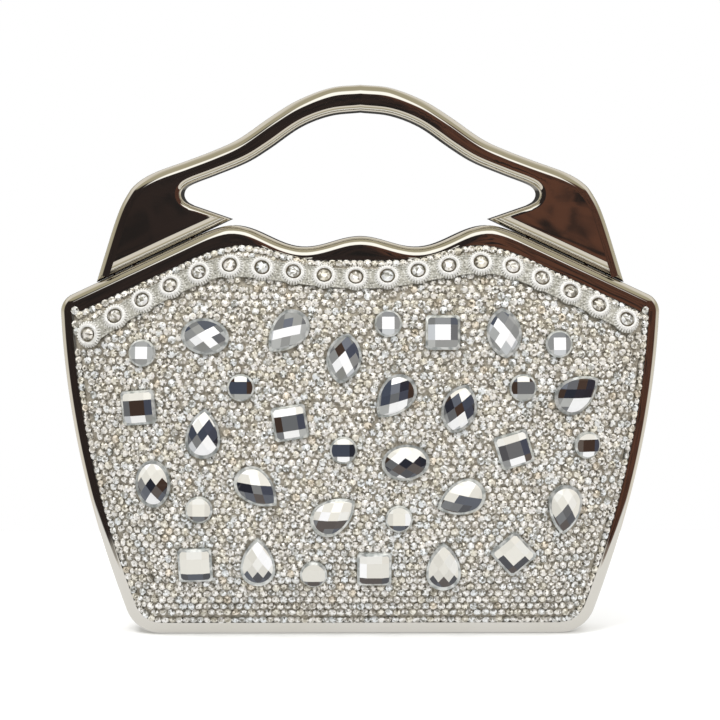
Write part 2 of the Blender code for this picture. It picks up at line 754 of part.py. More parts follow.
def trim_mesh():
    """Flat band that follows the dome along the trim's middle line and past its end rosettes."""
    path = trim_path(TRIM_STEPS)
    for end, neighbour in ((0, 1), (-1, -2)):
        outwards = (path[end] - path[neighbour]).normalized()
        path.insert(end if end == 0 else len(path), path[end] + outwards * TRIM_OVERHANG)
    lower = offset_line(path, -TRIM_WIDTH / 2)
    upper = offset_line(path, TRIM_WIDTH / 2)
    rings = []
    for places in zip(lower, path, upper):
        under = [in_front(place, dome_reach(place, 0) + TRIM_LIFT) for place in places]
        over = [in_front(place, dome_reach(place, 0) + TRIM_LIFT + TRIM_THICKNESS) for place in places]
        rings.append(under + over[::-1])
    shape = bmesh.new()
    add_loft(shape, rings)
    return finish_mesh("trim_band", shape)


def rosette_frames():
    """Frames of the rosettes on the dome."""
    return [skin_frame(place, 0) for place in trim_path(ROSETTE_COUNT - 1)]


def rosettes_mesh():
    """Round rosettes with slanted sides, which stand on the trim."""
    foot = Vector((0, 0, TRIM_LIFT))
    top = Vector((0, 0, TRIM_LIFT + ROSETTE_HEIGHT))
    shape = bmesh.new()
    for frame in rosette_frames():
        add_cylinder(shape, ROSETTE_RADIUS, foot, top, SMALL_SEGMENTS, ROSETTE_TOP_RADIUS, frame)
    return finish_mesh("rosettes", shape)


def build_trim(shop):
    """Trim of each panel: its band, with the rosettes fused to it."""
    rosettes = rosettes_mesh()
    front, back = build_pair(shop, "trim_band", trim_mesh(), "trim")
    combine(front, shop.tool("trim_rosettes", rosettes), "UNION")
    combine(back, shop.tool("turned_trim_rosettes", rosettes, turned=True), "UNION")


# Large stones

def unit_outline(kind):
    """Outline of a stone in a square of half size 1, its tip or long axis along +Y."""
    points = []
    for step in range(STONE_SEGMENTS):
        angle = 2 * math.pi * step / STONE_SEGMENTS + math.pi / 2
        across = math.cos(angle)
        up = math.sin(angle)
        if kind == "navette":
            across *= math.sqrt(1 - up ** 2 / 2)
        if kind == "pear":
            across *= 1 - max(up, 0) / 2
        points.append(Vector((across, up)))
    if kind == "square":
        points = square_outline()
    return points


def square_outline():
    """A square with cut corners."""
    corners = []
    for turn in range(4):
        rotation = Matrix.Rotation(math.pi / 2 * turn, 2)
        corners.append(rotation @ Vector((1, 1 - STONE_CORNER_SHARE)))
        corners.append(rotation @ Vector((1 - STONE_CORNER_SHARE, 1)))
    return corners


def add_stone(shape, frame, kind):
    """A flat-backed stone set into the skin: its slanted crown and its flat table."""
    width, length, height = STONE_SIZES[kind]
    outline = [Vector((point.x * width / 2, point.y * length / 2)) for point in unit_outline(kind)]
    rings = []
    for share, level in ((1, -STONE_SINK), (STONE_TABLE_SHARE, height)):
        rings.append([frame @ Vector((point.x * share, point.y * share, level)) for point in outline])
    add_loft(shape, rings)


def stones_mesh(kind, places):
    """All large stones of one cut."""
    shape = bmesh.new()
    for across, up, turn in places:
        place = Vector((across * BODY_HALF, up * BODY_HEIGHT))
        add_stone(shape, skin_frame(place, math.radians(turn)), kind)
    return finish_mesh(f"{kind}_stones", shape)


# Handle

def opening_points():
    """Right half of the hand opening, from its top down to the inner end of the foot."""
    sill = slope_height(PEAK_ACROSS)
    rise = HAND_OPENING_HEIGHT - sill
    points = [Vector((0, HAND_OPENING_HEIGHT))]
    for across, up in HAND_OPENING_SHARES:
        points.append(Vector((across * HAND_OPENING_HALF, sill + up * rise)))
    return points


def handle_foot():
    """Inner tip and outer corner of the right foot, which runs along the shoulder."""
    foot_gap = FIT_GAP / math.cos(SHOULDER_SLOPE)
    corner = Vector((HANDLE_HALF, slope_height(HANDLE_HALF) + foot_gap))
    end = opening_points()[-1]
    tip_run = Vector((-math.cos(HANDLE_TIP_SLOPE), -math.sin(HANDLE_TIP_SLOPE)))
    shoulder_run = Vector((-math.cos(SHOULDER_SLOPE), math.sin(SHOULDER_SLOPE)))
    return meet(end, end + tip_run, corner, corner + shoulder_run), corner


def handle_outline():
    """Outline of the handle: over the arch, along the foot to its tip and round the opening."""
    tip, corner = handle_foot()
    rise = HANDLE_HEIGHT - corner.y
    outer = [corner]
    outer += [Vector((across * corner.x, corner.y + up * rise)) for across, up in HANDLE_OUTER_SHARES]
    outer.append(Vector((0, HANDLE_HEIGHT)))
    outer_curve = smooth_through(outer, OUTER_CURVE_STEPS)
    inner_curve = smooth_through(opening_points(), OPENING_CURVE_STEPS)
    middle_top = [Vector((-point.x, point.y)) for point in reversed(outer_curve[:-1])]
    middle_opening = [Vector((-point.x, point.y)) for point in reversed(inner_curve[1:])]
    left_tip = Vector((-tip.x, tip.y))
    return outer_curve + middle_top + [left_tip] + middle_opening + inner_curve + [tip]


def handle_shell_mesh():
    """Front half of the hollow handle, open at the seam and rounded at its face."""
    outline = handle_outline()
    face = HANDLE_DEPTH / 2
    cavity = inset_loop(outline, HANDLE_WALL)
    rings = [level_ring(cavity, face - HANDLE_WALL), level_ring(cavity, FIT_GAP / 2),
             level_ring(outline, FIT_GAP / 2)]
    for step in range(RIM_ROUND_STEPS + 1):
        angle = math.pi / 2 * step / RIM_ROUND_STEPS
        inset = RIM_ROUND * (1 - math.cos(angle))
        rings.append(level_ring(inset_loop(outline, inset), face - RIM_ROUND * (1 - math.sin(angle))))
    shape = bmesh.new()
    add_loft(shape, rings)
    return finish_mesh("handle_shell", shape)


def peg_places():
    """Places of the pegs in both feet of the handle, seen from the front."""
    places = []
    foot_height = slope_height(HANDLE_HALF)
    for across, up in PEG_PLACE_SHARES:
        for side in (-1, 1):
            height = foot_height + up * (HANDLE_HEIGHT - foot_height)
            places.append(Vector((side * across * HANDLE_HALF, height)))
    return places


def round_bars_mesh(name, radius, near_reach, far_reach):
    """Bars along the handle's depth at every peg, between two reaches from the seam."""
    shape = bmesh.new()
    for place in peg_places():
        add_cylinder(shape, radius, in_front(place, near_reach), in_front(place, far_reach))
    return finish_mesh(name, shape)


def screw_boss_mesh():
    shape = bmesh.new()
    radius = SCREW_RADIUS + FIT_GAP + SCREW_BOSS_WALL
    for start, direction in screw_lines():
        add_cylinder(shape, radius, start + direction * (FIT_GAP + HANDLE_WALL / 2),
                     start + direction * (SCREW_REACH + SCREW_BOSS_WALL))
    return finish_mesh("screw_bosses", shape)


def build_handle(shop):
    mesh = handle_shell_mesh()
    wall_middle = HANDLE_DEPTH / 2 - HANDLE_WALL / 2
    front = shop.piece("handle_front_shell", mesh, "nickel")
    back = shop.piece("handle_back_shell", mesh, "nickel", turned=True)
    pegs = round_bars_mesh("pegs", PEG_RADIUS, -PEG_REACH, wall_middle)
    combine(front, shop.tool("handle_pegs", pegs), "UNION")
    sleeve_radius = PEG_RADIUS + FIT_GAP + PEG_SLEEVE_WALL
    sleeves = round_bars_mesh("sleeves", sleeve_radius, FIT_GAP / 2, wall_middle)
    combine(back, shop.tool("handle_sleeves", sleeves, turned=True), "UNION")
    bores = round_bars_mesh("sleeve_bores", PEG_RADIUS + FIT_GAP, -CUT_OVERRUN, PEG_REACH + FIT_GAP)
    combine(back, shop.tool("handle_sleeve_bores", bores, turned=True), "DIFFERENCE")
    combine(back, shop.tool("screw_bosses", screw_boss_mesh()), "UNION")
    combine(back, shop.tool("handle_screw_holes", screw_hole_mesh()), "DIFFERENCE")


def screw_profile():
    """Outer side of a screw from its tip to its head, its own Z along the thread."""
    seat = -FRAME_WALL - FIT_GAP
    return ((0, SCREW_REACH), (SCREW_RADIUS, SCREW_REACH), (SCREW_RADIUS, seat),
            (SCREW_HEAD_RADIUS, seat), (SCREW_HEAD_RADIUS, seat - SCREW_HEAD_HEIGHT),
            (0, seat - SCREW_HEAD_HEIGHT))


def build_screws(shop):
    for number, (start, direction) in enumerate(screw_lines(), 1):
        shop.turned_piece(f"handle_screw_{number}", screw_profile(), "steel", start, direction)


# Hinges and their rivets

def knuckle_spans(middle):
    """Spans along the axis of the two back knuckles and of the front one between them."""
    length = (HINGE_LENGTH - KNUCKLE_GAP * 2) / 3
    lows = [middle - HINGE_LENGTH / 2 + index * (length + KNUCKLE_GAP) for index in range(3)]
    spans = [(low, low + length) for low in lows]
    return {"back": (spans[0], spans[2]), "front": (spans[1],)}


def span_box(low, high, near, far, facing, bottom, top):
    """Corners of a box along the axis, between two distances from it on the side it faces."""
    sides = sorted((near * facing, far * facing))
    return Vector((low, sides[0], bottom)), Vector((high, sides[1], top))


def leaf_mesh(middle, facing):
    """Flat leaf of a hinge on the inside of the base wall."""
    shape = bmesh.new()
    half = HINGE_LENGTH / 2
    add_box(shape, *span_box(middle - half, middle + half, NOTCH_HALF, LEAF_REACH, facing,
                             LEAF_BOTTOM, LEAF_TOP))
    return finish_mesh("leaf", shape)


def necks_mesh(spans, facing):
    """Necks from the leaf to its knuckles."""
    shape = bmesh.new()
    for low, high in spans:
        add_box(shape, *span_box(low, high, PIN_RADIUS, NOTCH_HALF + LEAF_THICKNESS, facing,
                                 LEAF_BOTTOM, LEAF_TOP))
    return finish_mesh("necks", shape)


def axis_bars_mesh(spans, radius):
    """Round bars on the hinge axis."""
    shape = bmesh.new()
    for low, high in spans:
        add_cylinder(shape, radius, Vector((low, 0, HINGE_AXIS_HEIGHT)), Vector((high, 0, HINGE_AXIS_HEIGHT)))
    return finish_mesh("axis_bars", shape)


def build_leaf(shop, name, middle, side, rivet_tool):
    facing = -1 if side == "front" else 1
    spans = knuckle_spans(middle)[side]
    bore_half = HINGE_LENGTH / 2 + CUT_OVERRUN
    leaf = shop.piece(name, leaf_mesh(middle, facing), "steel", moves=side == "front")
    combine(leaf, shop.tool(f"{name}_necks", necks_mesh(spans, facing)), "UNION")
    combine(leaf, shop.tool(f"{name}_knuckles", axis_bars_mesh(spans, KNUCKLE_RADIUS)), "UNION")
    bore = axis_bars_mesh([(middle - bore_half, middle + bore_half)], PIN_RADIUS + FIT_GAP)
    combine(leaf, shop.tool(f"{name}_bore", bore), "DIFFERENCE")
    combine(leaf, rivet_tool, "DIFFERENCE")


def rivet_profile():
    """Outer side of a rivet from its head, which lies on the leaf, to its end in the base wall."""
    seat = LEAF_TOP + FIT_GAP
    return ((0, RIVET_TOP), (RIVET_HEAD_RADIUS, RIVET_TOP), (RIVET_HEAD_RADIUS, seat),
            (RIVET_RADIUS, seat), (RIVET_RADIUS, RIVET_RECESS), (0, RIVET_RECESS))


def pin_profile():
    half = HINGE_LENGTH / 2
    return ((0, half), (PIN_RADIUS, half), (PIN_RADIUS, -half), (0, -half))


def build_hinges(shop):
    rivet_holes = rivet_hole_mesh()
    rivet_tools = {"front": shop.tool("front_leaf_holes", rivet_holes),
                   "back": shop.tool("back_leaf_holes", rivet_holes, turned=True)}
    up = Vector((0, 0, 1))
    for label, middle in (("left", -HINGE_ACROSS), ("right", HINGE_ACROSS)):
        for side in ("front", "back"):
            build_leaf(shop, f"{label}_{side}_hinge_leaf", middle, side, rivet_tools[side])
        shop.turned_piece(f"{label}_hinge_pin", pin_profile(), "steel",
                          Vector((middle, 0, HINGE_AXIS_HEIGHT)), Vector((1, 0, 0)))
    for number, place in enumerate(rivet_places(), 1):
        shop.turned_piece(f"front_hinge_rivet_{number}", rivet_profile(), "steel",
                          in_front(Vector((place.x, 0)), place.y), up, moves=True)
        shop.turned_piece(f"back_hinge_rivet_{number}", rivet_profile(), "steel",
                          in_front(Vector((place.x, 0)), -place.y), up)


# Magnets

def magnet_profile():
    return ((0, MAGNET_RECESS + MAGNET_THICKNESS), (MAGNET_RADIUS, MAGNET_RECESS + MAGNET_THICKNESS),
            (MAGNET_RADIUS, MAGNET_RECESS), (0, MAGNET_RECESS))


def magnet_cup_profile():
    """Outer side of a cup from its closed end to its mouth at the seam, and back up inside."""
    floor = MAGNET_RECESS + MAGNET_THICKNESS + FIT_GAP
    bore = MAGNET_RADIUS + FIT_GAP
    return ((0, floor + MAGNET_CUP_WALL), (MAGNET_CUP_RADIUS, floor + MAGNET_CUP_WALL),
            (MAGNET_CUP_RADIUS, MAGNET_RECESS), (bore, MAGNET_RECESS), (bore, floor), (0, floor))


def build_magnets(shop):
    """A pair of magnets under the shoulders of each half, face to face across the seam."""
    tip, corner = handle_foot()
    across = tip.x + (corner.x - tip.x) * MAGNET_PLACE_SHARE
    normal = Vector((math.sin(SHOULDER_SLOPE), 0, math.cos(SHOULDER_SLOPE)))
    under = Vector((across, 0, slope_height(across))) - normal * MAGNET_INSET
    for side, direction, moves in (("front", Vector((0, -1, 0)), True), ("back", Vector((0, 1, 0)), False)):
        for number, (place, _) in enumerate(mirrored(under, normal), 1):
            shop.turned_piece(f"{side}_magnet_{number}", magnet_profile(), "magnet", place, direction, moves)
            shop.turned_piece(f"{side}_magnet_cup_{number}", magnet_cup_profile(), "steel", place, direction,
                              moves)


def main():
    clear_scene()
    shop = Workshop()
    build_frames(shop)
    build_panels(shop)
    build_trim(shop)
    build_handle(shop)
    build_screws(shop)
    build_hinges(shop)
    build_magnets(shop)


main()
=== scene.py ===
"""Looks of the evening clutch bag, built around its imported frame.

Metres, +Z up. The bag stands at z = 0 and its front faces -Y. A place on a half is flat, as (across, up),
and its reach is its distance from the seam. The back half's pieces are the front's, turned about the
upright axis.
"""
import math

import bmesh
import bpy
import numpy as np
from mathutils import Matrix, Vector


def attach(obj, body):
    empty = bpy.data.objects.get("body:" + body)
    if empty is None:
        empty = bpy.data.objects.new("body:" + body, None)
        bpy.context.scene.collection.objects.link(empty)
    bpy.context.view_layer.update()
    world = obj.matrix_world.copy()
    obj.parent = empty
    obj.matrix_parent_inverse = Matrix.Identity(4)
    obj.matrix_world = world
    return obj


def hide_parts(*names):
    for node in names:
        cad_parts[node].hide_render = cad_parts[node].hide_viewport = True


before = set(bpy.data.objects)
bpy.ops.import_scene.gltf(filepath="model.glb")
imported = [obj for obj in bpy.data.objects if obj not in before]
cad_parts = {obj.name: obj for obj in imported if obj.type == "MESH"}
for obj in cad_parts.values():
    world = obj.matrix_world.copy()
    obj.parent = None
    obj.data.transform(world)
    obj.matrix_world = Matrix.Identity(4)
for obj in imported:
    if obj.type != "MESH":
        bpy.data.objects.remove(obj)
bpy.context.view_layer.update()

# Gap between neighbouring pieces, and the smallest lengths and bends that count
FIT_GAP = 0.0003
SNAP_DISTANCE = FIT_GAP / 100
LEAST_BEND = 1e-4
LEAST_DISTANCE = 1e-7

# Which way each half faces along Y
FACINGS = {"front": -1, "back": 1}

# Body outline, seen from the front
BODY_WIDTH = 0.2226
BODY_HEIGHT = 0.1529
SIDE_LEAN = 0.0268
SHOULDER_DROP = 0.0276
SHOULDER_RUN = 0.0592
PEAK_ROUNDING = 0.0047
VALLEY_DROP = 0.0081
VALLEY_SPREAD_SHARE = 0.44
CREST_DROP = 0.0041
SIDE_PULL_SHARE = 0.944
SIDE_PULL_HEIGHT_SHARE = 0.51
CORNER_RADIUS = 0.0070
CORNER_LOSS_SHARE = 0.75
BASE_CORNER_RADIUS = 0.0133

# Metal frame of each half
FRAME_DEPTH = 0.0110
FRAME_WALL = 0.0016
RIM_ROUND = 0.0039
RIM_CROWN = 0.00012
RIM_CROWN_SHARES = (0.25, 0.5, 0.75, 1.0)
RIM_SIDE = 0.0044
RIM_BASE = 0.0045
RIM_SHOULDER = 0.0069
RIM_CORNER_RADIUS = 0.0108

# Domed panel of each half
PANEL_PEAK_DROP = 0.0072
PANEL_PEAK_SHIFT = 0.0034
PANEL_MIDDLE_DROP = 0.0127
PANEL_MIDDLE_SPREAD_SHARE = 0.33
SKIN_THICKNESS = 0.0014
BOARD_THICKNESS = 0.0015
LINING_THICKNESS = 0.0008
LINING_EDGE_RECESS = 0.0010
PIPING_RADIUS = 0.0007
PUCKER_DEPTH = 0.0007
PUCKER_COUNT = 64
PUCKER_SHARES = (0.0, 0.5, 1.0, 0.9, 0.6, 0.3, 0.1)
EDGE_RISE = 0.0090
EDGE_RISE_WIDTH = 0.0320
EDGE_RISE_POWER = 0.7
CROWN_RISE = 0.0035
CROWN_WIDTH = 0.0500
EDGE_BLEND_POWER = 4
DOME_CENTRE_SHARE = 0.48
DOME_RING_SHARES = (0.02, 0.05, 0.09, 0.14, 0.20, 0.28, 0.38, 0.50, 0.64, 0.80, 0.92)

# Handle
HANDLE_DEPTH = 0.0200
HANDLE_RISE = 0.0517
HANDLE_SHOULDER_GAP = 0.0133
HANDLE_WALL = 0.0016
HANDLE_ROUND = 0.0042
OPENING_ROUND = 0.0022
HANDLE_SEAM = 0.0001
HANDLE_ARCH_THICKNESS = 0.0095
HANDLE_FOOT_WIDTH = 0.0317
HANDLE_OUTER_SHARES = (
    (0.924, 0.320), (0.880, 0.445), (0.840, 0.507), (0.773, 0.559), (0.658, 0.615),
    (0.554, 0.668), (0.458, 0.728), (0.336, 0.841), (0.235, 0.923), (0.112, 0.985))
HAND_OPENING_SHARES = (
    (0.170, 0.968), (0.336, 0.862), (0.508, 0.667), (0.637, 0.536), (0.807, 0.420),
    (0.938, 0.338), (0.986, 0.289), (1.000, 0.227), (0.983, 0.168), (0.943, 0.128))
HANDLE_TIP_SLOPE = math.radians(19.0)

# Hinges in the base
HINGE_AXIS_HEIGHT = 0.0018
HINGE_SPREAD_SHARE = 0.533
HINGE_LENGTH = 0.0240
KNUCKLE_RADIUS = 0.0016
KNUCKLE_GAP = 0.0004
LEAF_THICKNESS = 0.0010
GROOVE_ANGLE = math.radians(35.0)
CUT_OVERRUN = 0.0020
PIN_RADIUS = 0.0007
RIVET_RADIUS = 0.0009
RIVET_HEAD_RADIUS = 0.0016
RIVET_HEAD_HEIGHT = 0.0006
RIVET_RECESS = 0.0003
RIVET_SPREAD_SHARE = 0.6
EDGE_BREAK = 0.00015

# Screws through the shoulders of the back frame into the handle
SCREW_RADIUS = 0.0012
SCREW_HEAD_RADIUS = 0.0022
SCREW_HEAD_HEIGHT = 0.0014
SCREW_REACH = 0.0070
SCREW_PLACE_SHARES = (0.30, 0.74)
SLOT_WIDTH = 0.0006
SLOT_DEPTH = 0.0006

# Magnets under the shoulders, in their cups
MAGNET_RADIUS = 0.0024
MAGNET_THICKNESS = 0.0030
MAGNET_RECESS = 0.0004
MAGNET_CUP_WALL = 0.0006
MAGNET_PLACE_SHARE = 0.61

# Trim along the top of each panel, with its rosettes
TRIM_LIFT = 0.0005
TRIM_THICKNESS = 0.0007
TRIM_STEPS = 108
TRIM_OVERHANG = 0.0040
ROSETTE_COUNT = 19
TRIM_DROP = 0.0011
TRIM_PLACE_SHARES = (
    (-0.894, 0.746), (-0.737, 0.817), (-0.512, 0.896), (-0.386, 0.907), (-0.126, 0.884),
    (0.072, 0.881), (0.252, 0.902), (0.386, 0.915), (0.512, 0.901), (0.719, 0.835), (0.876, 0.778))
LACE_WIDTH = 0.0064
ROSETTE_RADIUS = 0.0046
ROSETTE_STONE_RADIUS = 0.0023
ROSETTE_STONE_HEIGHT = 0.0015
ROSETTE_STONE_GIRDLE_SHARE = 0.5
ROSETTE_STONE_TABLE_SHARE = 0.5
COLLAR_RADIUS = 0.0025
COLLAR_THICKNESS = 0.00030
THREAD_RADIUS = 0.00030
THREAD_RING_RADIUS = 0.0034
THREAD_RING_THICKNESS = 0.00070
PETAL_COUNT = 28
PETAL_REACH = 0.00405
PETAL_HALF_SIZE = (0.00072, 0.00036, 0.00074)
BEAD_RING_RADIUS = 0.00465
BEAD_RADIUS = 0.00034
BEAD_COUNT = 28
GRAIN_RADIUS = 0.00042
GRAIN_SPACING = 0.00104
GRAIN_ROWS = 6
GRAIN_CLEARANCE = 0.0055
LACE_PLACE_SHARES = (-1, -0.5, 0, 0.5, 1)

# Large stones, as width and length and height, and their places: across and up the body, and their turn
STONE_SIZES = {
    "round": (0.0100, 0.0100, 0.0026),
    "square": (0.0126, 0.0126, 0.0030),
    "oval": (0.0132, 0.0176, 0.0034),
    "navette": (0.0128, 0.0186, 0.0034),
    "pear": (0.0128, 0.0186, 0.0034),
}
STONE_PLACE_SHARES = {
    "round": ((-0.716, 0.696, 0), (-0.392, 0.615, 0), (0.090, 0.766, 0), (0.650, 0.717, 0),
              (0.531, 0.614, 0), (-0.057, 0.465, 0), (0.747, 0.474, 0), (-0.532, 0.321, 0),
              (-0.156, 0.162, 0), (0.126, 0.299, 0)),
    "square": ((-0.729, 0.566, 5), (-0.232, 0.531, 9), (0.269, 0.745, 0), (0.503, 0.466, 17),
               (-0.547, 0.185, 2), (0.045, 0.175, 0), (0.505, 0.212, 42)),
    "oval": ((-0.509, 0.736, 82), (-0.684, 0.382, 0), (0.147, 0.435, 96)),
    "navette": ((-0.055, 0.684, -10), (0.469, 0.744, 5), (0.322, 0.564, -17)),
    "pear": ((-0.242, 0.745, 137), (-0.516, 0.505, -4), (0.110, 0.591, 140), (0.712, 0.600, -55),
             (-0.340, 0.373, -131), (-0.088, 0.308, -55), (-0.340, 0.193, 0), (0.329, 0.348, 112),
             (0.274, 0.181, 0), (0.674, 0.318, 176)),
}
STONE_SINK = 0.0009
STONE_GIRDLE_HEIGHT = 0.0009
STONE_CROWN_SHARE = 0.86
STONE_CORNER_SHARE = 0.14
SQUARE_DROP_SHARE = 0.5
STONE_SEGMENTS = 40

# Facet edges of the large stones as shares of their half sizes, and how far the facets are turned
SQUARE_CUT_SHARES = (-1.0, -0.52, 0.52, 1.0)
LATTICE_CUT_SHARES = (-1.42, -0.75, -0.25, 0.25, 0.75, 1.42)
LATTICE_TURN = math.radians(45.0)

# Painted reflection of a room on the large stones' facets, for the foil under them: a dark band that is
# higher on the higher stones, a painted lamp under it, and tones from the darkest at 0 to white at 1
DARK_BAND_BASE = -1.18
DARK_BAND_CLIMB = 2.37
DARK_BAND_HALF = 0.36
LAMP_DROP = 0.95
LAMP_HALF_WIDTH = 0.42
TONE_JITTER = 0.08
GLINT_CHANCE = 0.12
DARK_TONES = (0.0, 0.36)
HIGH_DARK_TONES = (0.18, 0.50)
HIGH_PLACE_SHARE = 0.65
GREY_REFLECTION_TONES = (0.36, 0.66)
PALE_TONES = (0.66, 0.78)
LAMP_TONE = 1.0

# Small stones in their rows
SMALL_STONE_RADIUS = 0.00145
SMALL_STONE_HEIGHT = 0.00092
SMALL_STONE_RISE = 0.0004
SMALL_STONE_GIRDLE = 0.0004
SMALL_STONE_TABLE_SHARE = 0.42
SMALL_STONE_SIDES = 8
SIZE_JITTER = 0.03
ROW_PITCH = 0.0030
ROW_HEIGHT = 0.00262
ROW_JITTER = 0.00036
LOOSE_START_SHARE = 0.2
LOOSE_WIDTH_SHARE = 0.3
ROW_TILT = math.radians(10.0)
SMALL_STONE_SPACING = 0.0026
EDGE_ROW_SHARE = 0.75
EDGE_ROW_CLEARANCE_SHARE = 0.75
LARGE_STONE_CLEARANCE_SHARE = 0.85
CROWDED_SHARE = 1.4
FILL_SPACING = 0.0021
FILL_STEP = 0.0007
FILL_SIZE_SHARE = 0.76
EDGE_ROSETTE_CLEARANCE = 0.0036
SPREAD_ROUNDS = 12
SPREAD_EASE = 3
RANDOM_SEED = 11
TONE_NAME = "facet_tone"
PLACE_DIGITS = 5

# Fineness of the curves
BASE_STEPS = 8
SIDE_STEPS = 24
TOP_STEPS = 56
FILLET_STEPS = 8
SLOPE_STEPS = 6
PEAK_STEPS = 8
WAVE_STEPS = 14
OUTER_CURVE_STEPS = 8
OPENING_CURVE_STEPS = 6
RIM_ROUND_STEPS = 10
TUBE_SIDES = 8
RING_STEPS = 32
SMOOTH_ANGLE = math.radians(35.0)
FLAT_FACE_WEIGHT = 100

# Colours along a texture that runs from 0 to 1
NICKEL_COLOURS = ((0.3, (0.71, 0.685, 0.62)), (0.7, (0.75, 0.725, 0.67)))
# Painted reflections on the small stones' facets, drawn at random from dark to white glints
SMALL_FACET_REFLECTION_COLOURS = ((0.00, (0.20, 0.19, 0.16)), (0.10, (0.38, 0.365, 0.32)), (0.27, (0.58, 0.565, 0.51)),
                (0.44, (0.84, 0.83, 0.79)), (0.58, (1.00, 1.00, 0.98)))
SMALL_STONE_TINTS = ((0.00, (1.00, 0.98, 0.96)), (0.34, (0.98, 0.99, 1.00)), (0.52, (1.00, 0.97, 0.93)),
                     (0.76, (0.95, 0.91, 0.82)), (0.90, (0.94, 0.97, 1.00)), (0.975, (0.97, 0.88, 0.76)))
# Painted reflections on the large stones' facets, from charcoal to white
FACET_REFLECTION_COLOURS = (
    (0.00, (0.022, 0.024, 0.034)), (0.09, (0.050, 0.032, 0.024)), (0.18, (0.055, 0.065, 0.090)),
    (0.28, (0.140, 0.145, 0.150)), (0.38, (0.260, 0.265, 0.260)), (0.50, (0.420, 0.430, 0.420)),
    (0.60, (0.560, 0.580, 0.600)), (0.66, (0.770, 0.750, 0.680)), (0.75, (0.840, 0.830, 0.780)),
    (0.85, (1.000, 1.000, 1.000)))
# Painted reflection of the foil through the large stones' clear rims, in streaks
STONE_RIM_REFLECTION_COLOURS = ((0.35, (0.30, 0.32, 0.31)), (0.65, (0.74, 0.75, 0.72)))
BACKING_COLOURS = ((0.35, (0.26, 0.23, 0.18)), (0.65, (0.50, 0.46, 0.38)))
# Silver thread, with a painted highlight where its relief is highest
LACE_CREST_HIGHLIGHT_COLOURS = ((0.35, (0.84, 0.83, 0.80)), (0.60, (1.00, 1.00, 0.98)))
# Lace ground: its own grey, darkened further as painted shade between the threads
LACE_GROUND_AND_SHADE_COLOURS = ((0.2, (0.72, 0.71, 0.66)), (0.6, (0.40, 0.39, 0.34)))
# Grey satin, with painted light and shade in place of folds
LINING_AND_FOLD_SHADE_COLOURS = ((0.3, (0.22, 0.21, 0.22)), (0.7, (0.33, 0.32, 0.33)))
BOARD_COLOURS = ((0.35, (0.34, 0.32, 0.29)), (0.65, (0.50, 0.48, 0.45)))

# Even colours of the metals whose roughness alone varies
CUP_COLOUR = (0.46, 0.44, 0.40)
STEEL_COLOUR = (0.56, 0.56, 0.55)
MAGNET_COLOUR = (0.62, 0.62, 0.60)

# What the metal mirrors, from straight down at 0 over the horizon at 0.5 to straight up at 1
WARM_WHITE = (0.86, 0.82, 0.75)
WHITE = (1.42, 1.41, 1.37)
KHAKI = (0.48, 0.44, 0.32)
PALE_KHAKI = (0.62, 0.58, 0.47)
NEAR_BLACK = (0.020, 0.018, 0.018)
DULL_KHAKI = (0.50, 0.46, 0.34)
BROWN = (0.130, 0.058, 0.038)
FAINT_BROWN = (0.036, 0.026, 0.024)
DARK_GREY = (0.05, 0.048, 0.045)
FRONT_STOPS = ((0.910, WHITE), (0.950, KHAKI))
FRONT_LAMP_EDGE = (0.70, 0.745)
FRONT_LAMP_HALF_WIDTH = (0.38, 0.50)
FRONT_KHAKI_EDGE = (0.79, 0.84)
FRONT_SIDE_EDGE = (0.02, -0.22)
FRONT_LOW_EDGE = (-0.160, -0.130)
FRONT_LOW_SLOPE = 0.29
REAR_STOPS = ((0.40, WARM_WHITE), (0.47, DARK_GREY), (0.64, DARK_GREY), (0.70, WARM_WHITE),
              (0.86, WARM_WHITE), (0.965, KHAKI))
SIDE_STOPS = ((0.17, KHAKI), (0.25, WARM_WHITE), (0.40, WARM_WHITE), (0.52, PALE_KHAKI),
              (0.66, DULL_KHAKI), (0.76, WARM_WHITE), (0.90, WARM_WHITE), (0.965, KHAKI))
REAR_SIDE_EDGE = (0.86, 0.95)
BROWN_EDGE = (0.01, 0.09)
BLOTCH_EDGE = (0.36, 0.56)
BLOTCH_SCALE = 42.0
BLOTCH_DETAIL = 4.0

# Light of the room on what isn't mirrored, from straight down to straight up
PLAIN_LIGHT = (0.58, 1.10)

# Soft lamps, as place and size and watts, with the point that they all face
LAMPS = {
    "key_lamp": ((-0.5, -0.7, 1.4), 0.6, 13),
    "fill_lamp": ((0.9, -0.6, 0.8), 0.7, 5),
    "back_lamp": ((0.4, 1.0, 1.0), 0.7, 3),
}
LAMP_AIM = Vector((0, 0, 0.10))

# Camera, as measured in the photograph
CAMERA_PLACE = Vector((-0.0058, -0.7120, 0.1568))
CAMERA_AIM = Vector((-0.0002, -0.0120, 0.1032))
CAMERA_LENS = 94.87

# Floor, which ends before and behind the object, and has a light of its own where it is far off or mirrored
FLOOR_HALF_WIDTH = 1.6
FLOOR_HALF_DEPTH = 0.22
FAR_FLOOR_LIFT = 0.70
FAR_FLOOR_EDGE = (0.22, 0.60)
MIRRORED_FLOOR_EDGE = (0.110, 0.125)
MIRRORED_FLOOR_WIDENING = 2.0
MIRRORED_FLOOR_TONE = 0.15
MIRRORED_FLOOR_LIGHT = 0.69
FLOOR_CLEARING = 0.030
FLOOR_CLEARING_SHARES = (0.80, 0.98)
FLOOR_COLOURS = ((0, (0.90, 0.90, 0.89)), (1, (MIRRORED_FLOOR_TONE,) * 3))

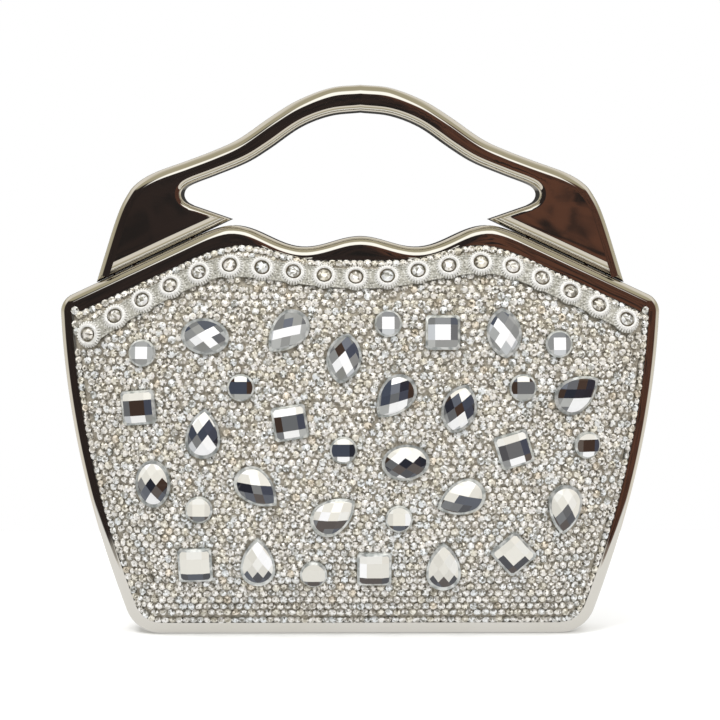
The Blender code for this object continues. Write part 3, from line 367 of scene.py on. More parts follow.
# Places worked out from the sizes above
BODY_HALF = BODY_WIDTH / 2
BASE_HALF = BODY_HALF - SIDE_LEAN
SHOULDER_HEIGHT = BODY_HEIGHT - SHOULDER_DROP
SHOULDER_SLOPE = math.atan2(SHOULDER_DROP, SHOULDER_RUN)
PEAK_ACROSS = BODY_HALF - SHOULDER_RUN - PEAK_ROUNDING
VALLEY_ACROSS = PEAK_ACROSS * VALLEY_SPREAD_SHARE
HANDLE_HEIGHT = BODY_HEIGHT + HANDLE_RISE
HANDLE_HALF = BODY_HALF - HANDLE_SHOULDER_GAP
HAND_OPENING_HALF = HANDLE_HALF - HANDLE_FOOT_WIDTH
HAND_OPENING_HEIGHT = HANDLE_HEIGHT - HANDLE_ARCH_THICKNESS
HINGE_ACROSS = BASE_HALF * HINGE_SPREAD_SHARE
DOME_CENTRE = Vector((0.0, BODY_HEIGHT * DOME_CENTRE_SHARE))
LIP_BACK = FRAME_DEPTH - FRAME_WALL
BACKING_DEPTH = SMALL_STONE_HEIGHT - SMALL_STONE_RISE
NOTCH_HALF = KNUCKLE_RADIUS + KNUCKLE_GAP
LEAF_BOTTOM = FRAME_WALL + FIT_GAP
LEAF_TOP = LEAF_BOTTOM + LEAF_THICKNESS
NOTCH_TOP = LEAF_TOP + KNUCKLE_RADIUS
BOARD_FRONT = LIP_BACK - FIT_GAP
BOARD_BACK = BOARD_FRONT - BOARD_THICKNESS
LINING_FRONT = BOARD_BACK - FIT_GAP
LINING_BACK = LINING_FRONT - LINING_THICKNESS
BOARD_DEPTH = SKIN_THICKNESS + FIT_GAP
LINING_DEPTH = BOARD_DEPTH + BOARD_THICKNESS + FIT_GAP
LEAF_REACH = BOARD_BACK - FIT_GAP
RIVET_TOP = LEAF_TOP + FIT_GAP + RIVET_HEAD_HEIGHT
MAGNET_CUP_RADIUS = MAGNET_RADIUS + FIT_GAP + MAGNET_CUP_WALL
MAGNET_INSET = FRAME_WALL + FIT_GAP + MAGNET_CUP_RADIUS
SCREW_HEAD_BREAK = EDGE_BREAK * 3
TRIM_TOP = TRIM_LIFT + TRIM_THICKNESS
STONE_OVERLAP = SMALL_STONE_RADIUS / 3
GRAIN_JITTER = GRAIN_SPACING / 5


# Flat geometry

def quadratic(start, pull, end, steps):
    """Points of a quadratic curve, both ends included."""
    points = []
    for step in range(steps + 1):
        t = step / steps
        points.append(start * (1 - t) ** 2 + pull * (2 * t * (1 - t)) + end * t ** 2)
    return points


def smooth_through(points, steps):
    """A Catmull-Rom curve through the points, both ends included."""
    padded = [points[0] * 2 - points[1]] + list(points) + [points[-1] * 2 - points[-2]]
    curve = [points[0]]
    for a, b, c, d in zip(padded, padded[1:], padded[2:], padded[3:]):
        for step in range(1, steps + 1):
            t = step / steps
            curve.append((b * 2 + (c - a) * t + (a * 2 - b * 5 + c * 4 - d) * t ** 2
                          + (b * 3 - a - c * 3 + d) * t ** 3) / 2)
    return curve


def fillet(before, corner, after, radius, steps):
    """Points of a round corner in place of a sharp one."""
    back = (before - corner).normalized()
    ahead = (after - corner).normalized()
    half_angle = back.angle(ahead) / 2
    centre = corner + (back + ahead).normalized() * (radius / math.sin(half_angle))
    spoke = corner + back * (radius / math.tan(half_angle)) - centre
    turn = math.pi - 2 * half_angle
    if back.cross(ahead) > 0:
        turn = -turn
    return [centre + Matrix.Rotation(turn * step / steps, 2) @ spoke for step in range(steps + 1)]


def meet(a, b, c, d):
    """Where the line through a and b meets the line through c and d."""
    along = b - a
    other = d - c
    return a + along * ((c - a).cross(other) / along.cross(other))


def offset_line(points, distance):
    """An open line moved to its left, which is the inside of an outline that runs anticlockwise."""
    moved = []
    for index, point in enumerate(points):
        ahead = points[min(index + 1, len(points) - 1)] - points[max(index - 1, 0)]
        moved.append(point + Vector((-ahead.y, ahead.x)).normalized() * distance)
    return moved


def inset_loop(points, distances):
    """A closed outline with each edge moved inwards by its own distance, and its corners kept sharp."""
    moved = []
    for index, point in enumerate(points):
        before = (point - points[index - 1]).normalized()
        after = (points[(index + 1) % len(points)] - point).normalized()
        bend = before.cross(after)
        if abs(bend) < LEAST_BEND:
            moved.append(point + Vector((-after.y, after.x)) * distances[index])
        else:
            moved.append(point + (after * distances[index - 1] - before * distances[index]) / bend)
    return moved


def mirrored_loop(half):
    """A whole outline from its right half, which starts and ends on the middle line."""
    return half + [Vector((-point.x, point.y)) for point in reversed(half[1:-1])]


# Body outline

def side_curve():
    """Right side of the body, from the base corner up to the shoulder corner."""
    pull = Vector((BASE_HALF + (BODY_HALF - BASE_HALF) * SIDE_PULL_SHARE,
                   SHOULDER_HEIGHT * SIDE_PULL_HEIGHT_SHARE))
    return quadratic(Vector((BASE_HALF, 0)), pull, Vector((BODY_HALF, SHOULDER_HEIGHT)), SIDE_STEPS)


def slope_height(across):
    """Height of the straight shoulder."""
    return SHOULDER_HEIGHT + (BODY_HALF - across) * math.tan(SHOULDER_SLOPE)


def wave(start, end, steps):
    """Half a cosine wave between two level points, without its first point."""
    points = []
    for step in range(1, steps + 1):
        t = step / steps
        rise = (1 - math.cos(math.pi * t)) / 2
        points.append(Vector((start.x + (end.x - start.x) * t, start.y + (end.y - start.y) * rise)))
    return points


def top_curve(shoulder, peak, valley, crest):
    """Top from a point of the straight shoulder over the peak and the valley to the middle."""
    bend = Vector((shoulder.x - (peak.y - shoulder.y) / math.tan(SHOULDER_SLOPE), peak.y))
    slope_end = bend + (shoulder - bend).normalized() * (bend.x - peak.x) * 2
    slope = [shoulder.lerp(slope_end, step / SLOPE_STEPS) for step in range(SLOPE_STEPS)]
    rounding = quadratic(slope_end, bend, peak, PEAK_STEPS)
    return slope + rounding + wave(peak, valley, WAVE_STEPS) + wave(valley, crest, WAVE_STEPS)


def frame_top():
    """Top of the metal frame."""
    valley = Vector((VALLEY_ACROSS, BODY_HEIGHT - VALLEY_DROP))
    crest = Vector((0, BODY_HEIGHT - CREST_DROP))
    return top_curve(Vector((BODY_HALF, SHOULDER_HEIGHT)), Vector((PEAK_ACROSS, BODY_HEIGHT)), valley, crest)


def panel_top():
    """Top of the rim's opening, which is flatter in the middle than the frame's own top."""
    into_body = Vector((-math.sin(SHOULDER_SLOPE), -math.cos(SHOULDER_SLOPE)))
    shoulder = Vector((BODY_HALF, SHOULDER_HEIGHT)) + into_body * RIM_SHOULDER
    peak = Vector((PEAK_ACROSS - PANEL_PEAK_SHIFT, BODY_HEIGHT - PANEL_PEAK_DROP))
    middle_height = BODY_HEIGHT - PANEL_MIDDLE_DROP
    return top_curve(shoulder, peak, Vector((peak.x * PANEL_MIDDLE_SPREAD_SHARE, middle_height)),
                     Vector((0, middle_height)))


def evenly_along(points, steps):
    """Evenly spaced points along an open line, both ends included."""
    lengths = [0.0]
    for start, end in zip(points, points[1:]):
        lengths.append(lengths[-1] + (end - start).length)
    spaced = []
    index = 1
    for step in range(steps + 1):
        goal = lengths[-1] * step / steps
        while index < len(lengths) - 1 and lengths[index] < goal:
            index += 1
        share = (goal - lengths[index - 1]) / (lengths[index] - lengths[index - 1])
        spaced.append(points[index - 1].lerp(points[index], share))
    return spaced


def closed_outline(base, side, top_line, top_depth, base_radius):
    """Outline with its base and sides moved in from the body's, closed by a given top line."""
    side_line = offset_line(side_curve(), side)
    middle = Vector((0, base))
    above = next(index for index, point in enumerate(side_line) if point.y > base + base_radius)
    base_corner = meet(middle, Vector((BASE_HALF, base)), side_line[above - 1], side_line[above])
    shoulder = meet(side_line[-2], side_line[-1], top_line[0], top_line[1])
    shoulder_radius = CORNER_RADIUS - min(max(side, top_depth), CORNER_RADIUS * CORNER_LOSS_SHARE)
    base_fillet = fillet(middle, base_corner, side_line[above], base_radius, FILLET_STEPS)
    shoulder_fillet = fillet(side_line[-2], shoulder, top_line[1], shoulder_radius, FILLET_STEPS)
    side_run = [point for point in side_line if base_fillet[-1].y < point.y < shoulder_fillet[0].y]
    top_run = [point for point in top_line if point.x < shoulder_fillet[-1].x]
    half = evenly_along([middle, base_fillet[0]], BASE_STEPS) + base_fillet[1:]
    half += evenly_along([base_fillet[-1]] + side_run + [shoulder_fillet[0]], SIDE_STEPS)[1:-1]
    half += shoulder_fillet
    half += evenly_along([shoulder_fillet[-1]] + top_run, TOP_STEPS)[1:]
    half[-1].x = 0
    return mirrored_loop(half)


def body_outline(inset):
    """Outline of the body, moved in by the same distance all round."""
    base_radius = max(BASE_CORNER_RADIUS - inset, BASE_CORNER_RADIUS * (1 - CORNER_LOSS_SHARE))
    return closed_outline(inset, inset, offset_line(frame_top(), inset), inset, base_radius)


def rim_outline(inset):
    """Inner edge of the metal rim, moved in by a further distance."""
    top = offset_line(panel_top(), inset)
    return closed_outline(RIM_BASE + inset, RIM_SIDE + inset, top, RIM_SHOULDER + inset,
                          RIM_CORNER_RADIUS - inset)


# Many points at once, as rows of an array

def as_rows(points):
    return np.array([tuple(point) for point in points])


def line_distances(places, line):
    """Shortest distance of each place from an open line of points."""
    knots = as_rows(line)
    run = np.diff(knots, axis=0)
    offset = places[:, None, :] - knots[:-1]
    share = np.clip((offset * run).sum(-1) / (run ** 2).sum(-1), 0, 1)
    return np.linalg.norm(offset - run * share[..., None], axis=-1).min(axis=1)


def inside_outline(places, outline):
    """Which places lie inside a closed outline."""
    corners = as_rows(outline)
    following = np.roll(corners, -1, axis=0)
    up = places[:, 1:2]
    crosses = (corners[:, 1] > up) != (following[:, 1] > up)
    rise = following[:, 1] - corners[:, 1]
    rise = np.where(rise == 0, 1, rise)
    meets = corners[:, 0] + (up - corners[:, 1]) / rise * (following[:, 0] - corners[:, 0])
    return (crosses & (places[:, 0:1] < meets)).sum(axis=1) % 2 == 1


def outline_overlaps(places, outline):
    """How deep each place lies inside a convex outline that runs anticlockwise; outside is negative."""
    corners = as_rows(outline)
    run = np.roll(corners, -1, axis=0) - corners
    normals = np.stack([run[:, 1], -run[:, 0]], axis=1) / np.linalg.norm(run, axis=1)[:, None]
    distances = ((places[:, None, :] - corners) * normals).sum(-1)
    nearest = distances.argmax(axis=1)
    return -distances.max(axis=1), normals[nearest]


def edge_lines():
    """The four edges of the panel's skin: base, right side, top and left side."""
    side = offset_line(side_curve(), RIM_SIDE + FIT_GAP)
    half_top = offset_line(panel_top(), FIT_GAP)
    top = half_top[:-1] + [Vector((-point.x, point.y)) for point in reversed(half_top)]
    base = [Vector((-BODY_HALF, RIM_BASE + FIT_GAP)), Vector((BODY_HALF, RIM_BASE + FIT_GAP))]
    left = [Vector((-point.x, point.y)) for point in side]
    return base, side, top, left


EDGE_LINES = edge_lines()


def dome_reaches(places, depth=0.0):
    """How far a layer of the dome stands from the seam at each place, at a depth under its skin."""
    closeness = np.zeros(len(places))
    for line in EDGE_LINES:
        closeness += np.maximum(line_distances(places, line), LEAST_DISTANCE) ** -EDGE_BLEND_POWER
    distance = np.maximum(closeness ** (-1 / EDGE_BLEND_POWER) - depth, 0)
    edge_share = np.minimum(distance / EDGE_RISE_WIDTH, 1)
    crown_share = np.minimum(distance / CROWN_WIDTH, 1)
    edge_rise = EDGE_RISE * (1 - (1 - edge_share) ** 2) ** EDGE_RISE_POWER
    crown_rise = CROWN_RISE * crown_share ** 2 * (3 - 2 * crown_share)
    return FRAME_DEPTH - depth + edge_rise + crown_rise


def on_dome(places, lift=0.0):
    """Points of the dome's skin, or at a lift over it, from their flat places."""
    return np.column_stack([places[:, 0], -dome_reaches(places) - lift, places[:, 1]])


def dome_axes(places):
    """Axes of the dome's skin at each place: across it, up it and out of it."""
    step = FIT_GAP
    here = on_dome(places)
    across = on_dome(places + (step, 0)) - here
    across /= np.linalg.norm(across, axis=1)[:, None]
    out = np.cross(across, on_dome(places + (0, step)) - here)
    out /= np.linalg.norm(out, axis=1)[:, None]
    return across, np.cross(out, across), out


def dome_matrices(places):
    """Matrices of pieces that lie on the dome, their own Z out of it."""
    matrices = []
    for point, *axes in zip(on_dome(places), *dome_axes(places)):
        turn = Matrix([Vector(axis) for axis in axes]).transposed().to_4x4()
        matrices.append(Matrix.Translation(Vector(point)) @ turn)
    return matrices


# Meshes

def finish_mesh(name, shape, flat=False):
    """Turns a bmesh into a mesh, shaded smooth except at its hard edges, or flat."""
    shape.normal_update()
    bmesh.ops.triangulate(shape, faces=[face for face in shape.faces if len(face.verts) > 4])
    bmesh.ops.recalc_face_normals(shape, faces=shape.faces)
    mesh = bpy.data.meshes.new(name)
    shape.to_mesh(mesh)
    shape.free()
    if not flat:
        mesh.shade_smooth()
        mesh.set_sharp_from_angle(angle=SMOOTH_ANGLE)
    return mesh


def level_ring(outline, reach):
    return [Vector((point.x, -reach, point.y)) for point in outline]


def dome_ring(outline, depth):
    """A ring of points on a layer of the dome."""
    reaches = dome_reaches(as_rows(outline), depth)
    return [Vector((point.x, -reach, point.y)) for point, reach in zip(outline, reaches)]


def dome_rings(depth):
    """Rings of one dome surface, from its edge to its single middle point."""
    edge = rim_outline(FIT_GAP + depth)
    rings = [level_ring(edge, FRAME_DEPTH - depth)]
    for share in DOME_RING_SHARES:
        rings.append(dome_ring([point.lerp(DOME_CENTRE, share) for point in edge], depth))
    rings.append(dome_ring([DOME_CENTRE], depth))
    return rings


def add_loft(shape, rings, closed=False, capped=True):
    """Joins rings of points with faces: a ring of one point is a tip, any other end can be capped."""
    made = [[shape.verts.new(point) for point in ring] for ring in rings]
    pairs = list(zip(made, made[1:]))
    if closed:
        pairs.append((made[-1], made[0]))
    for lower, upper in pairs:
        count = max(len(lower), len(upper))
        for index in range(count):
            following = (index + 1) % count
            if len(lower) == 1:
                shape.faces.new((lower[0], upper[index], upper[following]))
            elif len(upper) == 1:
                shape.faces.new((lower[index], lower[following], upper[0]))
            else:
                shape.faces.new((lower[index], lower[following], upper[following], upper[index]))
    if capped and not closed:
        for end in (made[0], made[-1]):
            if len(end) > 1:
                shape.faces.new(end)


def add_box(shape, low, high):
    """A box between its lowest and its highest corner."""
    size = high - low
    scale = Matrix.Diagonal((size.x, size.y, size.z, 1))
    bmesh.ops.create_cube(shape, size=1, matrix=Matrix.Translation((low + high) / 2) @ scale)


def add_tube(shape, path, outs, radius, closed=False):
    """A round cord along a path, with a direction out of its surface given at each point."""
    rings = []
    count = len(path)
    for index, (point, out) in enumerate(zip(path, outs)):
        ahead = path[(index + 1) % count if closed else min(index + 1, count - 1)]
        along = (ahead - path[index - 1 if closed else max(index - 1, 0)]).normalized()
        side = along.cross(out).normalized()
        ring = []
        for step in range(TUBE_SIDES):
            angle = 2 * math.pi * step / TUBE_SIDES
            ring.append(point + side * (radius * math.cos(angle)) + out * (radius * math.sin(angle)))
        rings.append(ring)
    add_loft(shape, rings, closed=closed)


def circle(radius, level, steps=RING_STEPS, turn=0):
    """A round ring of points about its own Z, at a level, turned by a share of one step."""
    angles = [2 * math.pi * (step + turn) / steps for step in range(steps)]
    return [Vector((radius * math.cos(angle), radius * math.sin(angle), level)) for angle in angles]


def add_turned(shape, profile, matrix, closed=False):
    """A turned solid: its profile is pairs of level and radius, and a radius of zero is a tip."""
    rings = []
    for level, radius in profile:
        ring = circle(radius, level) if radius else [Vector((0, 0, level))]
        rings.append([matrix @ point for point in ring])
    add_loft(shape, rings, closed=closed)


def turned_mesh(name, profile, closed=False):
    """A turned solid about its own Z."""
    shape = bmesh.new()
    add_turned(shape, profile, Matrix.Identity(4), closed)
    return finish_mesh(name, shape)


def add_ring(shape, matrix, ring_radius, radius, height):
    """A round ring that lies in the plane of a matrix, at a height over it."""
    out = (matrix.to_3x3() @ Vector((0, 0, 1))).normalized()
    path = [matrix @ point for point in circle(ring_radius, height)]
    add_tube(shape, path, [out] * RING_STEPS, radius, closed=True)


# Pieces

def add_piece(name, mesh, materials, body, turned=False, stands_for=()):
    """A piece of the object that rides on a body; a turned one faces the back."""
    item = bpy.data.objects.new(name, mesh)
    bpy.context.scene.collection.objects.link(item)
    if not mesh.materials:
        for material in materials:
            mesh.materials.append(material)
    if turned:
        item.rotation_euler.z = math.pi
    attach(item, body)
    if stands_for:
        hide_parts(*stands_for)
    return item


def add_pair(name, mesh, materials, stands_for=None):
    """The same piece on both halves, turned about the upright axis for the back one."""
    for side, facing in FACINGS.items():
        nodes = (f"{side}_{stands_for}",) if stands_for else ()
        add_piece(f"{side}_{name}", mesh, materials, f"{side}_half", facing > 0, nodes)


def combine(mesh, tool, operation="DIFFERENCE"):
    """A mesh with another cut out of it, or joined to it."""
    pair = [bpy.data.objects.new(item.name, item) for item in (mesh, tool)]
    for item in pair:
        bpy.context.scene.collection.objects.link(item)
    modifier = pair[0].modifiers.new("combine", "BOOLEAN")
    modifier.operation = operation
    modifier.solver = "EXACT"
    modifier.object = pair[1]
    bpy.context.view_layer.update()
    made = bpy.data.meshes.new_from_object(pair[0].evaluated_get(bpy.context.evaluated_depsgraph_get()))
    for item in pair:
        bpy.data.objects.remove(item)
    made.shade_smooth()
    made.set_sharp_from_angle(angle=SMOOTH_ANGLE)
    return made


def keep_faces_flat(item):
    """Lets the large flat faces rule the shading, so that the metal mirrors without waves."""
    modifier = item.modifiers.new("flat_faces", "WEIGHTED_NORMAL")
    modifier.keep_sharp = True
    modifier.weight = FLAT_FACE_WEIGHT


# Node trees

class Nodes:
    """A node tree being made, with short calls for the nodes that go into it."""

    def __init__(self, tree):
        self.tree = tree

    def node(self, kind, inputs, **settings):
        """A node with its inputs set, or linked where they are another node's output."""
        made = self.tree.nodes.new(kind)
        for name, value in settings.items():
            setattr(made, name, value)
        for key, value in inputs.items():
            if isinstance(value, bpy.types.NodeSocket):
                self.tree.links.new(value, made.inputs[key])
            else:
                made.inputs[key].default_value = value
        return made

    def rays(self):
        """Outputs that tell which kind of ray asks."""
        return self.node("ShaderNodeLightPath", {}).outputs

    def seen(self, rays):
        """1 for what the camera sees, straight or through glass."""
        return self.number("MAXIMUM", rays["Is Camera Ray"], rays["Is Transmission Ray"])

    def number(self, operation, *values):
        return self.node("ShaderNodeMath", dict(enumerate(values)), operation=operation).outputs[0]

    def vector(self, operation, *values):
        return self.node("ShaderNodeVectorMath", dict(enumerate(values)), operation=operation).outputs

    def parts(self, vector):
        """The three numbers of a vector."""
        return self.node("ShaderNodeSeparateXYZ", {0: vector}).outputs

    def spread(self, factor, low, high, from_low=0, from_high=1, **settings):
        """A number that runs from low to high as the factor does between two values."""
        inputs = {"Value": factor, "From Min": from_low, "From Max": from_high, "To Min": low, "To Max": high}
        return self.node("ShaderNodeMapRange", inputs, **settings).outputs["Result"]

    def share(self, factor, edge):
        """A number that runs smoothly from 0 to 1 between the two values of an edge."""
        return self.spread(factor, 0, 1, *edge, interpolation_type="SMOOTHSTEP")

    def colours(self, factor, stops, steps=False):
        """A colour from a factor: stops are pairs of place and colour."""
        made = self.node("ShaderNodeValToRGB", {"Fac": factor})
        made.color_ramp.interpolation = "CONSTANT" if steps else "LINEAR"
        elements = made.color_ramp.elements
        while len(elements) < len(stops):
            elements.new(1)
        for element, (place, colour) in zip(elements, stops):
            element.position = place
            element.color = (*colour, 1)
        return made.outputs["Color"]

    def mixed(self, factor, low, high, blend_type="MIX"):
        """A colour between two others, which are sockets or plain colours."""
        made = self.node("ShaderNodeMix", {"Factor": factor}, data_type="RGBA", blend_type=blend_type)
        sockets = [socket for socket in made.inputs if socket.type == "RGBA"]
        for socket, colour in zip(sockets, (low, high)):
            if isinstance(colour, bpy.types.NodeSocket):
                self.tree.links.new(colour, socket)
            else:
                socket.default_value = (*colour, 1)
        return next(socket for socket in made.outputs if socket.type == "RGBA")


# Finishes

class Finish(Nodes):
    """A node material being made: its shader, and the textures that feed it."""

    def __init__(self, name, metallic=0):
        self.material = bpy.data.materials.new(name)
        self.material.use_nodes = True
        super().__init__(self.material.node_tree)
        self.shader = self.tree.nodes["Principled BSDF"]
        self.put("Metallic", metallic)

    def put(self, socket, value):
        """Sets a socket of the shader, or links a node's output to it."""
        if isinstance(value, bpy.types.NodeSocket):
            self.tree.links.new(value, self.shader.inputs[socket])
        else:
            self.shader.inputs[socket].default_value = value

    def coat(self, weight, roughness):
        self.put("Coat Weight", weight)
        self.put("Coat Roughness", roughness)

    def places(self):
        return self.node("ShaderNodeTexCoord", {}).outputs["Object"]

    def noise(self, scale, detail=2):
        inputs = {"Vector": self.places(), "Scale": scale, "Detail": detail}
        return self.node("ShaderNodeTexNoise", inputs).outputs["Fac"]

    def cells(self, scale):
        inputs = {"Vector": self.places(), "Scale": scale}
        return self.node("ShaderNodeTexVoronoi", inputs).outputs["Distance"]

    def weave(self, scale):
        inputs = {"Vector": self.places(), "Scale": scale}
        return self.node("ShaderNodeTexWave", inputs, bands_direction="DIAGONAL").outputs["Fac"]

    def tone(self):
        """Tone of a facet's painted reflection."""
        return self.node("ShaderNodeAttribute", {}, attribute_name=TONE_NAME).outputs["Fac"]

    def bump(self, height, strength, distance):
        inputs = {"Height": height, "Strength": strength, "Distance": distance}
        self.put("Normal", self.node("ShaderNodeBump", inputs).outputs["Normal"])


def nickel_finish():
    """Mirror-plated metal, with a faint orange peel and a few softer smears."""
    finish = Finish("mirror_nickel", metallic=1)
    smears = finish.noise(scale=28, detail=3)
    finish.put("Base Color", finish.colours(smears, NICKEL_COLOURS))
    finish.put("Roughness", finish.spread(smears, low=0.02, high=0.05, from_low=0.35, from_high=0.7))
    finish.bump(finish.noise(scale=55, detail=1), strength=0.05, distance=0.002)
    return finish.material


def small_stone_finish():
    """Clear foil-backed stones: each has its own tint, and its facets get painted reflections of the foil at
    random, from dark to white glints.
    """
    finish = Finish("small_stones", metallic=0.35)
    island = finish.node("ShaderNodeNewGeometry", {}).outputs["Random Per Island"]
    # Painted reflection of the foil, lighter or darker at random for each facet
    painted_reflection = finish.colours(finish.tone(), SMALL_FACET_REFLECTION_COLOURS, steps=True)
    tint = finish.colours(island, SMALL_STONE_TINTS, steps=True)
    finish.put("Base Color", finish.mixed(1, painted_reflection, tint, "MULTIPLY"))
    finish.put("Roughness", finish.spread(island, low=0.05, high=0.16))
    finish.coat(weight=0.6, roughness=0.04)
    return finish.material


def facet_finish():
    """Facets of the large stones, with painted reflections in tones from charcoal to white in place of the
    foil under them.
    """
    finish = Finish("large_stone_facets", metallic=0.12)
    finish.put("Base Color", finish.colours(finish.tone(), FACET_REFLECTION_COLOURS, steps=True))
    finish.put("Roughness", 0.03)
    finish.coat(weight=1, roughness=0.02)
    return finish.material


def stone_rim_finish():
    """Clear rim round the facets, with the foil seen through the glass painted as a pale and grey reflection
    in streaks.
    """
    finish = Finish("large_stone_rims", metallic=0.35)
    finish.put("Base Color", finish.colours(finish.noise(scale=420), STONE_RIM_REFLECTION_COLOURS))
    finish.put("Roughness", 0.12)
    finish.coat(weight=1, roughness=0.03)
    return finish.material


def backing_finish():
    """Glued backing that shows between the small stones."""
    finish = Finish("stone_backing", metallic=0.3)
    finish.put("Base Color", finish.colours(finish.noise(scale=900), BACKING_COLOURS))
    finish.put("Roughness", 0.5)
    finish.bump(finish.cells(scale=1400), strength=0.5, distance=0.0003)
    return finish.material


def lace_finish():
    """Silver thread wound close, with a painted highlight on its crests."""
    finish = Finish("silver_lace", metallic=0.4)
    thread = finish.noise(scale=1500, detail=3)
    finish.put("Base Color", finish.colours(thread, LACE_CREST_HIGHLIGHT_COLOURS))
    finish.put("Roughness", finish.spread(thread, low=0.5, high=0.25))
    finish.bump(thread, strength=0.8, distance=0.0004)
    return finish.material


def lace_ground_finish():
    """Netting under the thread work, darker as its own grey and as painted shade between the threads."""
    finish = Finish("lace_ground", metallic=0.3)
    net = finish.cells(scale=1100)
    finish.put("Base Color", finish.colours(net, LACE_GROUND_AND_SHADE_COLOURS))
    finish.put("Roughness", 0.5)
    finish.bump(net, strength=0.6, distance=0.0003)
    return finish.material


def collar_finish():
    """Smooth metal cups of the rosettes' stones."""
    finish = Finish("rosette_cups", metallic=1)
    finish.put("Base Color", (*CUP_COLOUR, 1))
    finish.put("Roughness", finish.spread(finish.noise(scale=400), low=0.08, high=0.22))
    finish.bump(finish.noise(scale=700), strength=0.15, distance=0.0002)
    return finish.material


def lining_finish():
    """Grey satin, with a fine weave and soft patches of painted light and shade in place of folds."""
    finish = Finish("grey_lining")
    finish.put("Base Color", finish.colours(finish.noise(scale=18, detail=3), LINING_AND_FOLD_SHADE_COLOURS))
    finish.put("Roughness", 0.6)
    finish.put("Sheen Weight", 0.4)
    finish.put("Sheen Roughness", 0.35)
    finish.bump(finish.weave(scale=900), strength=0.3, distance=0.0002)
    return finish.material


def board_finish():
    """Pressed grey board with short fibres."""
    finish = Finish("grey_board")
    fibres = finish.noise(scale=300, detail=6)
    finish.put("Base Color", finish.colours(fibres, BOARD_COLOURS))
    finish.put("Roughness", 0.85)
    finish.bump(fibres, strength=0.4, distance=0.0003)
    return finish.material


def steel_finish():
    """Brushed steel of the hinges, screws and cups."""
    finish = Finish("hinge_steel", metallic=1)
    brushed = finish.noise(scale=600, detail=4)
    finish.put("Base Color", (*STEEL_COLOUR, 1))
    finish.put("Roughness", finish.spread(brushed, low=0.18, high=0.4))
    finish.bump(brushed, strength=0.12, distance=0.0002)
    return finish.material


def magnet_finish():
    """Nickel-plated magnets, scuffed where they meet."""
    finish = Finish("magnet_nickel", metallic=1)
    finish.put("Base Color", (*MAGNET_COLOUR, 1))
    finish.put("Roughness", finish.spread(finish.noise(scale=900, detail=5), low=0.12, high=0.4))
    return finish.material


def floor_finish():
    """A pale floor that keeps the object's shadow, lifted to white where it is far off.

    It clears where the opened front half dips under it, as the bag is held up when it opens.
    The metal mirrors only the part near the object, and the room in place of the rest.
    """
    finish = Finish("pale_floor")
    rays = finish.rays()
    mirrored = rays["Is Glossy Ray"]
    distance = finish.vector("LENGTH", finish.places())["Value"]
    lift = finish.spread(distance, 0, FAR_FLOOR_LIFT, *FAR_FLOOR_EDGE)
    lift = finish.number("MULTIPLY", lift, finish.seen(rays))
    lift = finish.number("MAXIMUM", lift, finish.spread(mirrored, 0, MIRRORED_FLOOR_LIGHT))
    finish.put("Base Color", finish.colours(mirrored, FLOOR_COLOURS))
    finish.put("Roughness", 0.9)
    finish.put("Specular IOR Level", 0)
    finish.put("Emission Color", (1, 1, 1, 1))
    finish.put("Emission Strength", lift)
    under = finish.node("ShaderNodeAmbientOcclusion", {"Distance": FLOOR_CLEARING}, inside=True)
    solid = finish.spread(under.outputs["AO"], 0, 1, *FLOOR_CLEARING_SHARES)
    narrowed = finish.vector("MULTIPLY", finish.places(), (1 / MIRRORED_FLOOR_WIDENING, 1, 1))["Vector"]
    near = finish.spread(finish.vector("LENGTH", narrowed)["Value"], 1, 0, *MIRRORED_FLOOR_EDGE)
    near = finish.number("MAXIMUM", near, finish.number("SUBTRACT", 1, mirrored))
    solid = finish.number("MULTIPLY", solid, near)
    clear = finish.node("ShaderNodeBsdfTransparent", {}).outputs[0]
    mixed = finish.node("ShaderNodeMixShader", {0: solid, 1: clear, 2: finish.shader.outputs[0]})
    finish.tree.links.new(mixed.outputs[0], finish.tree.nodes["Material Output"].inputs["Surface"])
    return finish.material


# Metal frames

def frame_mesh():
    """Metal frame of the front half: an outer wall that turns in to a flat rim."""
    rings = [level_ring(body_outline(0), FIT_GAP / 2)]
    shoulder = FRAME_DEPTH - RIM_CROWN
    for step in range(RIM_ROUND_STEPS + 1):
        angle = math.pi / 2 * step / RIM_ROUND_STEPS
        inset = RIM_ROUND * (1 - math.cos(angle))
        rings.append(level_ring(body_outline(inset), shoulder - RIM_ROUND * (1 - math.sin(angle))))
    for share in RIM_CROWN_SHARES:
        outline = [a.lerp(b, share) for a, b in zip(body_outline(RIM_ROUND), rim_outline(0))]
        rings.append(level_ring(outline, FRAME_DEPTH - RIM_CROWN * (1 - share) ** 2))
    rings.append(level_ring(rim_outline(0), LIP_BACK))
    inner = body_outline(FRAME_WALL)
    rings.append(level_ring(inner, LIP_BACK))
    rings.append(level_ring(inner, FIT_GAP / 2))
    shape = bmesh.new()
    add_loft(shape, rings, closed=True)
    return finish_mesh("metal_frame", shape)


def groove_mesh():
    """Cutter of the slanted edge along the base seam that lets the front half turn down."""
    shape = bmesh.new()
    add_box(shape, Vector((-BODY_HALF, 0, -BODY_HALF)), Vector((BODY_HALF, BODY_HALF, 0)))
    turn = Matrix.Rotation(-GROOVE_ANGLE, 4, "X")
    shape.transform(Matrix.Translation((0, 0, HINGE_AXIS_HEIGHT)) @ turn)
    return finish_mesh("groove_cutter", shape)


def notch_mesh():
    """Cutter of the room for the hinge knuckles in the base walls."""
    half = HINGE_LENGTH / 2 + KNUCKLE_GAP
    shape = bmesh.new()
    for middle in (-HINGE_ACROSS, HINGE_ACROSS):
        add_box(shape, Vector((middle - half, -NOTCH_HALF, -CUT_OVERRUN)),
                Vector((middle + half, NOTCH_HALF, NOTCH_TOP)))
    return finish_mesh("notch_cutter", shape)


def rivet_places():
    """Places of the rivets of one half, as across and reach."""
    reach = (NOTCH_HALF + LEAF_REACH) / 2
    places = []
    for middle in (-HINGE_ACROSS, HINGE_ACROSS):
        for side in (-1, 1):
            places.append(Vector((middle + side * HINGE_LENGTH / 2 * RIVET_SPREAD_SHARE, reach)))
    return places


